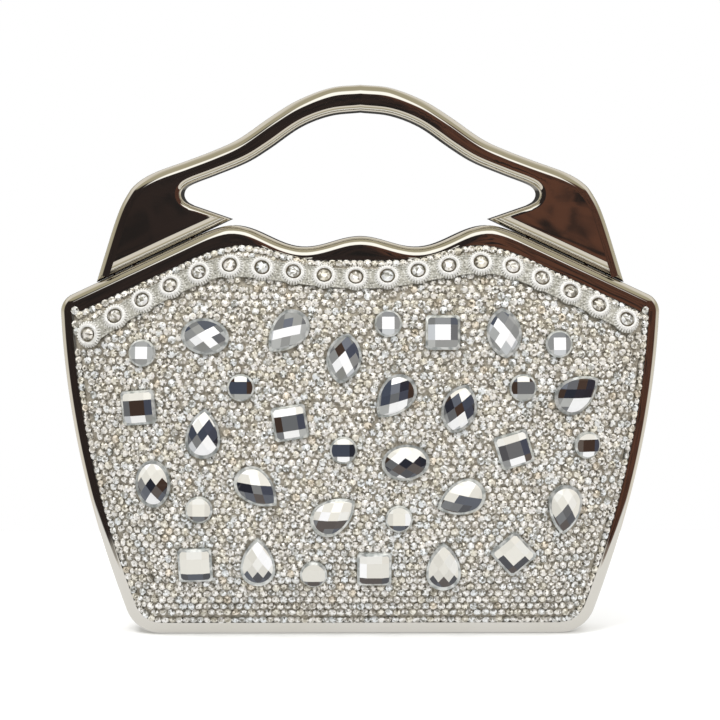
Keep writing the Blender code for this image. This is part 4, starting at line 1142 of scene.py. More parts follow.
def rivet_hole_mesh():
    """Cutter of the rivet holes in the base wall and the leaves of one half."""
    shape = bmesh.new()
    for place in rivet_places():
        profile = ((-CUT_OVERRUN, RIVET_RADIUS + FIT_GAP), (LEAF_TOP + CUT_OVERRUN, RIVET_RADIUS + FIT_GAP))
        add_turned(shape, profile, Matrix.Translation((place.x, -place.y, 0)))
    return finish_mesh("rivet_hole_cutter", shape)


def screw_matrices():
    """Places of the handle's screws: their own Z runs up through the shoulder, out of its surface."""
    tip, corner = handle_foot()
    matrices = []
    for share in SCREW_PLACE_SHARES:
        across = tip.x + (corner.x - tip.x) * share
        for side in (1, -1):
            turn = Matrix.Rotation(SHOULDER_SLOPE * side, 4, "Y")
            place = (across * side, HANDLE_DEPTH / 4, slope_height(across))
            matrices.append(Matrix.Translation(place) @ turn)
    return matrices


def screw_hole_mesh():
    """Cutter of the screw holes, as the back frame's mesh faces before it is turned."""
    shape = bmesh.new()
    radius = SCREW_RADIUS + FIT_GAP
    for matrix in screw_matrices():
        turned = Matrix.Rotation(math.pi, 4, "Z") @ matrix
        add_turned(shape, ((-FRAME_WALL - CUT_OVERRUN, radius), (CUT_OVERRUN, radius)), turned)
    return finish_mesh("screw_hole_cutter", shape)


def build_frames(nickel):
    mesh = combine(combine(frame_mesh(), groove_mesh()), notch_mesh())
    mesh = combine(mesh, rivet_hole_mesh())
    pierced = combine(mesh, screw_hole_mesh())
    for side, made in (("front", mesh), ("back", pierced)):
        item = add_piece(f"{side}_metal_frame", made, [nickel], f"{side}_half", FACINGS[side] > 0,
                         (f"{side}_frame",))
        keep_faces_flat(item)


# Panels

def skin_backing_mesh():
    """Closed shell under the small stones, which comes out through the rim's opening."""
    foot = LIP_BACK
    outer = [level_ring(rim_outline(FIT_GAP + BACKING_DEPTH), foot)] + dome_rings(BACKING_DEPTH)
    inner = [level_ring(rim_outline(FIT_GAP + SKIN_THICKNESS), foot)] + dome_rings(SKIN_THICKNESS)
    shape = bmesh.new()
    add_loft(shape, list(reversed(outer)) + inner)
    return finish_mesh("skin_backing", shape)


def stone_outline(kind):
    """Flat outline of a large stone round its own middle, anticlockwise, its tip along +Y."""
    width, length, _ = STONE_SIZES[kind]
    half = Vector((width / 2, length / 2))
    if kind == "square":
        return square_outline(half.x)
    points = []
    for step in range(STONE_SEGMENTS):
        angle = 2 * math.pi * step / STONE_SEGMENTS + math.pi / 2
        across = math.cos(angle)
        up = math.sin(angle)
        if kind == "navette":
            points.append(Vector((pointed_width(half.x, half.y, up) * math.copysign(1, across), up * half.y)))
        elif kind == "pear" and up > 0:
            tip = half.y * 2 - half.x
            points.append(Vector((pointed_width(half.x, tip, up) * math.copysign(1, across),
                                  up * tip + half.x - half.y)))
        elif kind == "pear":
            points.append(Vector((across * half.x, up * half.x + half.x - half.y)))
        else:
            points.append(Vector((across * half.x, up * half.y)))
    return points


def pointed_width(half_width, half_length, up):
    """Half width of a shape between two arcs, at a share of its half length."""
    radius = (half_width ** 2 + half_length ** 2) / (2 * half_width)
    return math.sqrt(max(radius ** 2 - (up * half_length) ** 2, 0)) - (radius - half_width)


def square_outline(half):
    """A square with cut corners."""
    corners = []
    for turn in range(4):
        rotation = Matrix.Rotation(math.pi / 2 * turn, 2)
        corners.append(rotation @ Vector((half, -half * (1 - STONE_CORNER_SHARE))))
        corners.append(rotation @ Vector((half, half * (1 - STONE_CORNER_SHARE))))
    return corners


def large_stone_shape(kind):
    """A checkerboard-cut stone: flat facets on a dome, a bevelled rim and an upright girdle."""
    width, length, height = STONE_SIZES[kind]
    scale = Vector((width, length)) / 2 * STONE_CROWN_SHARE
    latticed = kind in ("oval", "navette", "pear")
    cuts = LATTICE_CUT_SHARES if latticed else SQUARE_CUT_SHARES
    turn = Matrix.Rotation(LATTICE_TURN if latticed else 0, 2)
    axes = [turn @ Vector((1, 0)), turn @ Vector((0, 1))]
    crown = [Vector((point.x * STONE_CROWN_SHARE / scale.x, point.y * STONE_CROWN_SHARE / scale.y))
             for point in stone_outline(kind)]
    shape = bmesh.new()
    shape.faces.new([shape.verts.new((point.x, point.y, 0)) for point in crown])
    for axis in axes:
        for share in cuts[1:-1]:
            everything = shape.verts[:] + shape.edges[:] + shape.faces[:]
            bmesh.ops.bisect_plane(shape, geom=everything, dist=SNAP_DISTANCE,
                                   plane_co=(*(axis * share), 0), plane_no=(*axis, 0))
    drop = (height - STONE_GIRDLE_HEIGHT) * (1 if latticed else SQUARE_DROP_SHARE)
    falls = [drop * share ** 2 for share in cuts]
    for vert in shape.verts:
        fall = sum(np.interp(vert.co.xy.dot(axis), cuts, falls) for axis in axes)
        vert.co = (vert.co.x * scale.x, vert.co.y * scale.y, max(height - fall, STONE_GIRDLE_HEIGHT))
    for spread, level in ((1 / STONE_CROWN_SHARE, STONE_GIRDLE_HEIGHT), (1.0, -STONE_SINK)):
        boundary = [edge for edge in shape.edges if edge.is_boundary]
        made = bmesh.ops.extrude_edge_only(shape, edges=boundary)["geom"]
        for item in made:
            if isinstance(item, bmesh.types.BMVert):
                item.co = (item.co.x * spread, item.co.y * spread, level)
            elif isinstance(item, bmesh.types.BMFace):
                item.material_index = 1
    base = bmesh.ops.holes_fill(shape, edges=[edge for edge in shape.edges if edge.is_boundary])
    for face in base["faces"]:
        face.material_index = 1
    return shape


def rounded_middle(face):
    """Middle of a face, rounded, to sort faces by: cutting leaves them in another order at each run."""
    return [round(value, PLACE_DIGITS) for value in face.calc_center_median()]


def facet_tone(across, up, place_up, random):
    """Tone of a facet's painted reflection, from its place on the stone and the stone's place on the bag."""
    above = up - DARK_BAND_BASE - DARK_BAND_CLIMB * place_up + random.uniform(-TONE_JITTER, TONE_JITTER)
    # Painted reflection: pale facets above the dark band, with now and then a painted glint, a painted lamp
    # under it, grey below
    if above > DARK_BAND_HALF:
        return LAMP_TONE if random.uniform() < GLINT_CHANCE else random.uniform(*PALE_TONES)
    if above > -DARK_BAND_HALF:
        return random.uniform(*(HIGH_DARK_TONES if place_up > HIGH_PLACE_SHARE else DARK_TONES))
    if above > -LAMP_DROP and abs(across) < LAMP_HALF_WIDTH:
        return LAMP_TONE
    return random.uniform(*GREY_REFLECTION_TONES)


def stone_places(kind):
    """Flat places and turns of the large stones of one cut."""
    rows = np.array(STONE_PLACE_SHARES[kind], float)
    return rows[:, :2] * (BODY_HALF, BODY_HEIGHT), np.radians(rows[:, 2])


def build_large_stones(facets, rims):
    random = np.random.default_rng(RANDOM_SEED)
    for kind in STONE_SIZES:
        places, turns = stone_places(kind)
        one = large_stone_shape(kind)
        faces = sorted(one.faces, key=rounded_middle)
        half_length = STONE_SIZES[kind][1] / 2
        shape = bmesh.new()
        tone = shape.faces.layers.float.new(TONE_NAME)
        for matrix, place, turn in zip(dome_matrices(places), places, turns):
            spin = Matrix.Rotation(turn, 4, "Z")
            copies = {vert: shape.verts.new(matrix @ spin @ vert.co) for vert in one.verts}
            for face in faces:
                made = shape.faces.new([copies[vert] for vert in face.verts])
                made.material_index = face.material_index
                middle = spin @ face.calc_center_median() / half_length
                made[tone] = facet_tone(middle.x, middle.y, place[1] / BODY_HEIGHT, random)
        one.free()
        mesh = finish_mesh(f"{kind}_stones", shape, flat=True)
        add_pair(f"{kind}_stones", mesh, [facets, rims])


def large_stone_outlines():
    """Outlines of all the large stones in their flat places."""
    outlines = []
    for kind in STONE_SIZES:
        outline = stone_outline(kind)
        for place, turn in zip(*stone_places(kind)):
            rotation = Matrix.Rotation(turn, 2)
            outlines.append([rotation @ point + Vector(place) for point in outline])
    return outlines


def row_places():
    """Places of the small stones in level rows, each row half a pitch from the one below."""
    places = []
    rows = int(BODY_HEIGHT / ROW_HEIGHT)
    columns = int(BODY_HALF / ROW_PITCH) + 1
    for row in range(rows):
        shift = ROW_PITCH / 2 * (row % 2)
        for column in range(-columns, columns + 1):
            places.append((column * ROW_PITCH + shift,
                           RIM_BASE + SMALL_STONE_RADIUS + FIT_GAP * 2 + row * ROW_HEIGHT))
    return np.array(places)


def push_apart(places):
    """Moves stones that crowd each other apart."""
    offset = places[:, None, :] - places[None, :, :]
    distance = np.linalg.norm(offset, axis=-1)
    np.fill_diagonal(distance, np.inf)
    overlap = np.clip(SMALL_STONE_SPACING - distance, 0, None)
    push = (offset / distance[..., None] * overlap[..., None]).sum(axis=1)
    return places + push / SPREAD_EASE


def edge_places():
    """Places of the small stones in one row along the rim."""
    loop = rim_outline(FIT_GAP + SMALL_STONE_RADIUS * EDGE_ROW_SHARE)
    loop.append(loop[0])
    length = sum((after - before).length for before, after in zip(loop, loop[1:]))
    return as_rows(evenly_along(loop, round(length / SMALL_STONE_SPACING))[:-1])


def trim_clear(places, line, rosette_clearance):
    """Which places are clear of the lace and of its rosettes."""
    centres = rosette_places()
    to_rosette = np.linalg.norm(places[:, None, :] - centres, axis=-1).min(axis=1)
    to_lace = line_distances(places, line)
    return (to_rosette > rosette_clearance) & (to_lace > LACE_WIDTH / 2 + STONE_OVERLAP)


def small_stone_places(line):
    """Places of the small stones round the large ones, the trim and the rim."""
    random = np.random.default_rng(RANDOM_SEED)
    outlines = large_stone_outlines()
    edge = edge_places()
    edge = edge[trim_clear(edge, line, EDGE_ROSETTE_CLEARANCE)]
    panel = rim_outline(FIT_GAP + SMALL_STONE_RADIUS * EDGE_ROW_SHARE)
    places = row_places()
    places = places[inside_outline(places, panel)]
    loose = np.clip((places[:, 1:2] / BODY_HEIGHT - LOOSE_START_SHARE) / LOOSE_WIDTH_SHARE, 0, 1)
    places = places + random.normal(0, ROW_JITTER, places.shape) * loose
    to_edge = np.linalg.norm(places[:, None, :] - edge, axis=-1).min(axis=1)
    kept = to_edge > SMALL_STONE_SPACING * EDGE_ROW_CLEARANCE_SHARE
    kept &= trim_clear(places, line, ROSETTE_RADIUS + STONE_OVERLAP)
    for outline in outlines:
        depth, _ = outline_overlaps(places, outline)
        kept &= depth < STONE_OVERLAP
    places = places[kept]
    for _ in range(SPREAD_ROUNDS):
        places = push_apart(np.concatenate([edge, places]))[len(edge):]
        for outline in outlines:
            depth, outwards = outline_overlaps(places, outline)
            push = np.clip(depth + SMALL_STONE_RADIUS * LARGE_STONE_CLEARANCE_SHARE, 0, None)
            places = places + outwards * push[:, None]
        places = places[inside_outline(places, panel)]
    places = np.concatenate([edge, places])
    distance = np.linalg.norm(places[:, None, :] - places[None, :, :], axis=-1)
    places = places[~np.triu(distance < SMALL_STONE_RADIUS * CROWDED_SHARE, 1).any(axis=0)]
    filled = fill_gaps(places, line, outlines)
    sizes = np.ones(len(filled))
    sizes[len(places):] = FILL_SIZE_SHARE
    return filled, sizes


def fill_gaps(places, line, outlines):
    """Adds smaller stones, one after another, wherever there is room for one."""
    columns = np.arange(-BODY_HALF, BODY_HALF, FILL_STEP)
    rows = np.arange(RIM_BASE, BODY_HEIGHT, FILL_STEP)
    spots = np.stack(np.meshgrid(columns, rows), axis=-1).reshape(-1, 2)
    spots = spots[inside_outline(spots, rim_outline(FIT_GAP + SMALL_STONE_RADIUS * EDGE_ROW_SHARE))]
    roomy = [np.linalg.norm(row[:, None, :] - places, axis=-1).min(axis=1) > FILL_SPACING
             for row in np.array_split(spots, SPREAD_ROUNDS ** 2)]
    spots = spots[np.concatenate(roomy)]
    spots = spots[trim_clear(spots, line, ROSETTE_RADIUS + STONE_OVERLAP)]
    for outline in outlines:
        spots = spots[outline_overlaps(spots, outline)[0] < -SMALL_STONE_RADIUS * FILL_SIZE_SHARE / 2]
    for spot in spots:
        if np.linalg.norm(places - spot, axis=1).min() > FILL_SPACING:
            places = np.vstack([places, spot])
    return places


def small_stones_mesh(places, sizes):
    """All small stones of one half: an upright girdle, a ring of slanted facets and a flat table each."""
    random = np.random.default_rng(RANDOM_SEED)
    sides = SMALL_STONE_SIDES
    centres = on_dome(places, -BACKING_DEPTH)
    across, up, out = dome_axes(places)
    tilt = random.normal(0, ROW_TILT, (len(places), 2))
    out = out + across * tilt[:, :1] + up * tilt[:, 1:]
    out /= np.linalg.norm(out, axis=1)[:, None]
    across = np.cross(up, out)
    across /= np.linalg.norm(across, axis=1)[:, None]
    up = np.cross(out, across)
    twist = random.uniform(0, 2 * math.pi / sides, len(places))
    size = sizes * random.normal(1, SIZE_JITTER, len(places))
    levels = ((SMALL_STONE_RADIUS, -SMALL_STONE_GIRDLE, 0.0), (SMALL_STONE_RADIUS, SMALL_STONE_GIRDLE, 0.0),
              (SMALL_STONE_RADIUS * SMALL_STONE_TABLE_SHARE, SMALL_STONE_HEIGHT, math.pi / sides))
    rings = []
    for radius, level, turn in levels:
        for step in range(sides):
            angle = twist + turn + 2 * math.pi * step / sides
            reach = (radius * size)[:, None]
            rings.append(centres + across * reach * np.cos(angle)[:, None]
                         + up * reach * np.sin(angle)[:, None] + out * level)
    points = np.stack(rings, axis=1).reshape(-1, 3)
    faces = []
    for stone in range(len(places)):
        first = stone * len(levels) * sides
        table = []
        for step in range(sides):
            after = (step + 1) % sides
            low, girdle, top = first, first + sides, first + 2 * sides
            faces.append((low + step, low + after, girdle + after, girdle + step))
            faces.append((girdle + step, girdle + after, top + step))
            faces.append((top + step, girdle + after, top + after))
            table.append(top + step)
        faces.append(table)
    mesh = bpy.data.meshes.new("small_stones")
    mesh.from_pydata(points.tolist(), [], faces)
    scatter_tones(mesh, random)
    return mesh


def scatter_tones(mesh, random):
    """Gives each facet of small stones its own random tone of painted reflection."""
    tones = mesh.attributes.new(TONE_NAME, "FLOAT", "FACE")
    tones.data.foreach_set("value", random.uniform(0, 1, len(mesh.polygons)).astype(np.float32))


# Trim and rosettes

def trim_path(steps):
    """Evenly spaced places along the trim, from its first rosette to its last."""
    knots = []
    for across, up in TRIM_PLACE_SHARES:
        knots.append(Vector((across * BODY_HALF, up * BODY_HEIGHT - TRIM_DROP)))
    return evenly_along(smooth_through(knots, RING_STEPS), steps)


def rosette_places():
    """Places of the rosettes' middles."""
    return as_rows(trim_path(ROSETTE_COUNT - 1))


def trim_line():
    """Middle line of the trim, past its end rosettes."""
    path = trim_path(TRIM_STEPS)
    for end, neighbour in ((0, 1), (-1, -2)):
        outwards = (path[end] - path[neighbour]).normalized()
        path.insert(end if end == 0 else len(path), path[end] + outwards * TRIM_OVERHANG)
    return path


def lace_mesh(line):
    """The lace: a band with a cord on each edge, a petalled ring round each rosette, and grains."""
    shape = bmesh.new()
    across = [offset_line(line, LACE_WIDTH / 2 * share) for share in LACE_PLACE_SHARES]
    under = [on_dome(as_rows(side), -BACKING_DEPTH) for side in across]
    over = [on_dome(as_rows(side), TRIM_TOP) for side in across]
    rings = []
    for index in range(len(line)):
        rings.append([Vector(side[index]) for side in under + over[::-1]])
    add_loft(shape, rings)
    for side in (across[0], across[-1]):
        places = as_rows(side)
        path = [Vector(point) for point in on_dome(places, TRIM_TOP)]
        outs = [Vector(out) for out in dome_axes(places)[2]]
        add_tube(shape, path, outs, THREAD_RADIUS)
    for face in shape.faces:
        face.material_index = int(len(face.verts) == 4 and face.calc_area() < THREAD_RADIUS * GRAIN_SPACING)
    beads = []
    for matrix in dome_matrices(rosette_places()):
        add_rosette_disc(shape, matrix)
        beads += rosette_beads(matrix)
    add_beads(shape, beads, 1)
    grain = bead((0, 0, TRIM_TOP), (GRAIN_RADIUS,) * 3)
    grains = [matrix @ grain for matrix in dome_matrices(grain_places(line))]
    add_beads(shape, grains, 0)
    return finish_mesh("lace", shape)


def bead(place, half_size):
    """Matrix that turns a unit ball into a round or long bead."""
    return Matrix.Translation(place) @ Matrix.Diagonal((*half_size, 1))


def add_beads(shape, matrices, material_index):
    """A ball for each matrix, all at once."""
    ball = bmesh.new()
    bmesh.ops.create_icosphere(ball, subdivisions=2, radius=1)
    points = as_rows([vert.co for vert in ball.verts])
    corners = np.array([[vert.index for vert in face.verts] for face in ball.faces])
    ball.free()
    frames = np.array([[tuple(row) for row in matrix] for matrix in matrices])
    placed = points @ frames[:, :3, :3].transpose(0, 2, 1) + frames[:, None, :3, 3]
    faces = corners + np.arange(len(frames))[:, None, None] * len(points)
    mesh = bpy.data.meshes.new("beads")
    mesh.from_pydata(placed.reshape(-1, 3).tolist(), [], faces.reshape(-1, 3).tolist())
    mesh.polygons.foreach_set("material_index", np.full(len(mesh.polygons), material_index, np.int32))
    shape.from_mesh(mesh)
    bpy.data.meshes.remove(mesh)


def add_rosette_disc(shape, matrix):
    """Ground of one rosette, with a ring of thread on it."""
    rings = []
    for radius, level in ((ROSETTE_RADIUS, -BACKING_DEPTH), (ROSETTE_RADIUS, TRIM_TOP - THREAD_RADIUS),
                          (ROSETTE_RADIUS - THREAD_RADIUS, TRIM_TOP)):
        rings.append([matrix @ point for point in circle(radius, level)])
    add_loft(shape, rings)
    before = len(shape.faces)
    add_ring(shape, matrix, THREAD_RING_RADIUS, THREAD_RING_THICKNESS, TRIM_TOP + THREAD_RADIUS)
    shape.faces.ensure_lookup_table()
    for face in shape.faces[before:]:
        face.material_index = 1


def rosette_beads(matrix):
    """Petals and beaded edge of one rosette."""
    petal = bead((PETAL_REACH, 0, TRIM_TOP), PETAL_HALF_SIZE)
    edge_bead = bead((BEAD_RING_RADIUS, 0, TRIM_TOP - BEAD_RADIUS), (BEAD_RADIUS,) * 3)
    beads = []
    for count, one in ((PETAL_COUNT, petal), (BEAD_COUNT, edge_bead)):
        for step in range(count):
            beads.append(matrix @ Matrix.Rotation(2 * math.pi * step / count, 4, "Z") @ one)
    return beads


def grain_places(line):
    """Places of the grains of thread between the rosettes."""
    random = np.random.default_rng(RANDOM_SEED)
    length = sum((after - before).length for before, after in zip(line, line[1:]))
    places = []
    for row in range(GRAIN_ROWS):
        offset = (row / (GRAIN_ROWS - 1) - 0.5) * (LACE_WIDTH - GRAIN_RADIUS)
        places += evenly_along(offset_line(line, offset), round(length / GRAIN_SPACING))
    places = as_rows(places)
    places = places + random.normal(0, GRAIN_JITTER, places.shape)
    centres = rosette_places()
    to_rosette = np.linalg.norm(places[:, None, :] - centres, axis=-1).min(axis=1)
    return places[to_rosette > GRAIN_CLEARANCE]


def rosettes_mesh():
    """Metal cup of each rosette's stone."""
    shape = bmesh.new()
    for matrix in dome_matrices(rosette_places()):
        add_ring(shape, matrix, COLLAR_RADIUS, COLLAR_THICKNESS, TRIM_TOP + ROSETTE_STONE_HEIGHT / 3)
    return finish_mesh("rosettes", shape)


def rosette_stones_mesh():
    """Faceted middle stone of each rosette."""
    shape = bmesh.new()
    base = TRIM_LIFT + TRIM_THICKNESS / 2
    levels = ((1, base, 0), (1, base + ROSETTE_STONE_HEIGHT * ROSETTE_STONE_GIRDLE_SHARE, 0),
              (ROSETTE_STONE_TABLE_SHARE, base + ROSETTE_STONE_HEIGHT, 1 / 2))
    for matrix in dome_matrices(rosette_places()):
        rings = []
        for share, level, turn in levels:
            ring = circle(ROSETTE_STONE_RADIUS * share, level, SMALL_STONE_SIDES, turn)
            rings.append([matrix @ point for point in ring])
        add_loft(shape, rings)
    bmesh.ops.triangulate(shape, faces=[face for face in shape.faces if len(face.verts) == 4])
    mesh = finish_mesh("rosette_stones", shape, flat=True)
    scatter_tones(mesh, np.random.default_rng(RANDOM_SEED))
    return mesh


# Handle

def opening_points():
    """Right half of the hand opening, from its top down to the inner end of the foot."""
    sill = slope_height(PEAK_ACROSS)
    rise = HAND_OPENING_HEIGHT - sill
    points = [Vector((0, HAND_OPENING_HEIGHT))]
    for across, up in HAND_OPENING_SHARES:
        points.append(Vector((across * HAND_OPENING_HALF, sill + up * rise)))
    return points


def handle_foot():
    """Inner tip and outer corner of the right foot, which runs along the shoulder."""
    foot_gap = FIT_GAP / math.cos(SHOULDER_SLOPE)
    corner = Vector((HANDLE_HALF, slope_height(HANDLE_HALF) + foot_gap))
    end = opening_points()[-1]
    tip_run = Vector((-math.cos(HANDLE_TIP_SLOPE), -math.sin(HANDLE_TIP_SLOPE)))
    shoulder_run = Vector((-math.cos(SHOULDER_SLOPE), math.sin(SHOULDER_SLOPE)))
    return meet(end, end + tip_run, corner, corner + shoulder_run), corner


def handle_outline():
    """Outline of the handle, and which of its edges lie round the opening."""
    tip, corner = handle_foot()
    rise = HANDLE_HEIGHT - corner.y
    outer = [corner]
    outer += [Vector((across * corner.x, corner.y + up * rise)) for across, up in HANDLE_OUTER_SHARES]
    outer.append(Vector((0, HANDLE_HEIGHT)))
    outer_curve = smooth_through(outer, OUTER_CURVE_STEPS)
    inner_curve = smooth_through(opening_points(), OPENING_CURVE_STEPS)
    outer_curve += [Vector((-point.x, point.y)) for point in reversed(outer_curve[:-1])]
    opening = [Vector((-tip.x, tip.y))]
    opening += [Vector((-point.x, point.y)) for point in reversed(inner_curve[1:])] + inner_curve
    return outer_curve + opening + [tip], [False] * len(outer_curve) + [True] * len(opening) + [False]


def handle_shell_mesh():
    """Front half of the hollow handle, open at the seam and rounded at its face."""
    outline, in_opening = handle_outline()
    face = HANDLE_DEPTH / 2
    cavity = inset_loop(outline, [HANDLE_WALL] * len(outline))
    rings = [level_ring(cavity, face - HANDLE_WALL), level_ring(cavity, HANDLE_SEAM / 2),
             level_ring(outline, HANDLE_SEAM / 2)]
    radii = [OPENING_ROUND if inner else HANDLE_ROUND for inner in in_opening]
    for step in range(RIM_ROUND_STEPS + 1):
        angle = math.pi / 2 * step / RIM_ROUND_STEPS
        moved = inset_loop(outline, [radius * (1 - math.cos(angle)) for radius in radii])
        ring = []
        for index, point in enumerate(moved):
            drop = (radii[index - 1] + radii[index]) / 2 * (1 - math.sin(angle))
            ring.append(Vector((point.x, drop - face, point.y)))
        rings.append(ring)
    shape = bmesh.new()
    add_loft(shape, rings)
    return finish_mesh("handle_shell", shape)


def build_handle(nickel):
    mesh = handle_shell_mesh()
    for side, facing in FACINGS.items():
        item = add_piece(f"handle_{side}", mesh, [nickel], "back_half", facing > 0,
                         (f"handle_{side}_shell",))
        keep_faces_flat(item)


# Boards and linings

def board_mesh():
    """Domed board with a flat flange, which lies behind the rim."""
    edge = body_outline(FRAME_WALL + FIT_GAP)
    back_depth = BOARD_DEPTH + BOARD_THICKNESS
    outer = [level_ring(edge, BOARD_FRONT), level_ring(rim_outline(FIT_GAP + BOARD_DEPTH), BOARD_FRONT)]
    outer += dome_rings(BOARD_DEPTH)
    inner = [level_ring(edge, BOARD_BACK), level_ring(rim_outline(FIT_GAP + back_depth), BOARD_BACK)]
    inner += dome_rings(back_depth)
    shape = bmesh.new()
    add_loft(shape, list(reversed(outer)) + inner)
    return finish_mesh("moulded_board", shape)


def lining_outline(inset):
    """Edge of the lining, clear of the hinges below, the walls beside and the magnets above."""
    top_depth = MAGNET_INSET + MAGNET_CUP_RADIUS + FIT_GAP + inset
    return closed_outline(RIVET_TOP + FIT_GAP + inset, FRAME_WALL + FIT_GAP + inset,
                          offset_line(panel_top(), top_depth - RIM_SHOULDER), top_depth,
                          max(BASE_CORNER_RADIUS - inset - FRAME_WALL, FRAME_WALL))


def puckered(ring, share):
    """A ring of the lining drawn in and out in small gathers, away from the board."""
    made = []
    for index, point in enumerate(ring):
        gather = (1 + math.sin(2 * math.pi * PUCKER_COUNT * index / len(ring))) / 2
        made.append(point + Vector((0, PUCKER_DEPTH * gather * share, 0)))
    return made


def lining_mesh():
    """Satin lining: a tray along the walls, gathered where it turns into the dome, with a piped edge."""
    back_depth = LINING_DEPTH + LINING_THICKNESS
    outer = [level_ring(lining_outline(0), LINING_EDGE_RECESS), level_ring(lining_outline(0), LINING_FRONT),
             level_ring(rim_outline(FIT_GAP + LINING_DEPTH), LINING_FRONT)]
    outer += dome_rings(LINING_DEPTH)
    edge = lining_outline(LINING_THICKNESS)
    floor = dome_rings(back_depth)
    for index, share in enumerate(PUCKER_SHARES):
        floor[index] = puckered(floor[index], share)
    inner = [level_ring(edge, LINING_EDGE_RECESS), level_ring(edge, LINING_BACK),
             level_ring(rim_outline(FIT_GAP + back_depth), LINING_BACK)]
    inner += floor
    shape = bmesh.new()
    add_loft(shape, list(reversed(outer)) + inner)
    piping = level_ring(lining_outline(PIPING_RADIUS), LINING_EDGE_RECESS + PIPING_RADIUS / 2)
    add_tube(shape, piping, [Vector((0, 1, 0))] * len(piping), PIPING_RADIUS, closed=True)
    return finish_mesh("satin_lining", shape)


# Hinges, rivets, screws and magnets

def rounded(level, radius, towards):
    """Two profile points that break the edge of a turned piece."""
    return ((level, radius - EDGE_BREAK), (level + EDGE_BREAK * towards, radius))


def knuckle_spans(middle):
    """Spans along the axis of the two back knuckles and of the front one between them."""
    length = (HINGE_LENGTH - KNUCKLE_GAP * 2) / 3
    lows = [middle - HINGE_LENGTH / 2 + index * (length + KNUCKLE_GAP) for index in range(3)]
    spans = [(low, low + length) for low in lows]
    return {"back": (spans[0], spans[2]), "front": (spans[1],)}


def axis_matrix():
    """Turns a piece's own Z onto the hinge axis, which runs along X."""
    return Matrix.Translation((0, 0, HINGE_AXIS_HEIGHT)) @ Matrix.Rotation(math.pi / 2, 4, "Y")


def broken_box_mesh(name, low, high):
    """A box with its edges broken."""
    shape = bmesh.new()
    add_box(shape, low, high)
    bmesh.ops.bevel(shape, geom=shape.edges[:], offset=EDGE_BREAK, segments=2, affect="EDGES")
    return finish_mesh(name, shape)


def leaf_mesh(middle, side):
    """Leaf of a hinge on the inside of the base wall, with its necks and round knuckles."""
    facing = FACINGS[side]
    spans = knuckle_spans(middle)[side]
    near, far = sorted((NOTCH_HALF * facing, LEAF_REACH * facing))
    half = HINGE_LENGTH / 2
    mesh = broken_box_mesh("leaf", Vector((middle - half, near, LEAF_BOTTOM)),
                           Vector((middle + half, far, LEAF_TOP)))
    near, far = sorted((0, (NOTCH_HALF + LEAF_THICKNESS) * facing))
    for low, high in spans:
        neck = broken_box_mesh("neck", Vector((low, near, LEAF_BOTTOM)), Vector((high, far, LEAF_TOP)))
        mesh = combine(mesh, neck, "UNION")
        knuckle = bmesh.new()
        profile = rounded(low, KNUCKLE_RADIUS, 1) + tuple(reversed(rounded(high, KNUCKLE_RADIUS, -1)))
        add_turned(knuckle, profile, axis_matrix())
        mesh = combine(mesh, finish_mesh("knuckle", knuckle), "UNION")
    bore = bmesh.new()
    reach = half + CUT_OVERRUN
    add_turned(bore, ((middle - reach, PIN_RADIUS + FIT_GAP), (middle + reach, PIN_RADIUS + FIT_GAP)),
               axis_matrix())
    mesh = combine(mesh, finish_mesh("bore", bore))
    holes = rivet_hole_mesh()
    if side == "back":
        holes.transform(Matrix.Rotation(math.pi, 4, "Z"))
    return combine(mesh, holes)


def rivet_profile():
    """Rivet from its end in the base wall to its domed head on the leaf."""
    seat = LEAF_TOP + FIT_GAP
    profile = [(RIVET_RECESS, 0), (RIVET_RECESS, RIVET_RADIUS), (seat, RIVET_RADIUS),
               (seat, RIVET_HEAD_RADIUS)]
    for step in range(1, FILLET_STEPS + 1):
        angle = math.pi / 2 * step / FILLET_STEPS
        profile.append((seat + RIVET_HEAD_HEIGHT * math.sin(angle), RIVET_HEAD_RADIUS * math.cos(angle)))
    profile[-1] = (RIVET_TOP, 0)
    return profile


def screw_mesh():
    """Screw with a slotted pan head under the shoulder."""
    seat = -FRAME_WALL - FIT_GAP
    top = seat - SCREW_HEAD_HEIGHT
    profile = [(top, 0), (top, SCREW_HEAD_RADIUS - SCREW_HEAD_BREAK),
               (top + SCREW_HEAD_BREAK, SCREW_HEAD_RADIUS), (seat, SCREW_HEAD_RADIUS), (seat, SCREW_RADIUS)]
    profile += [*reversed(rounded(SCREW_REACH, SCREW_RADIUS, -1)), (SCREW_REACH, 0)]
    slot = bmesh.new()
    add_box(slot, Vector((-SCREW_HEAD_RADIUS, -SLOT_WIDTH / 2, top - CUT_OVERRUN)),
            Vector((SCREW_HEAD_RADIUS, SLOT_WIDTH / 2, top + SLOT_DEPTH)))
    return combine(turned_mesh("screw", profile), finish_mesh("slot_cutter", slot))


def magnet_mesh():
    """Disc magnet with its face near the seam."""
    base = MAGNET_RECESS + MAGNET_THICKNESS
    profile = [(MAGNET_RECESS, 0), *rounded(MAGNET_RECESS, MAGNET_RADIUS, 1),
               *reversed(rounded(base, MAGNET_RADIUS, -1)), (base, 0)]
    return turned_mesh("magnet", profile)


def magnet_cup_mesh():
    """Cup with its mouth at the seam and a rounded closed end."""
    floor = MAGNET_RECESS + MAGNET_THICKNESS + FIT_GAP
    bore = MAGNET_RADIUS + FIT_GAP
    top = floor + MAGNET_CUP_WALL
    profile = [(top, 0), *rounded(top, MAGNET_CUP_RADIUS, -1),
               *reversed(rounded(MAGNET_RECESS, MAGNET_CUP_RADIUS, 1)),
               (MAGNET_RECESS, bore), (floor, bore), (floor, 0)]
    return turned_mesh("magnet_cup", profile)


def place_piece(name, mesh, material, matrix, body, node):
    """A piece in its own place, which stands for one node."""
    item = add_piece(name, mesh, [material], body, False, (node,))
    item.matrix_world = matrix


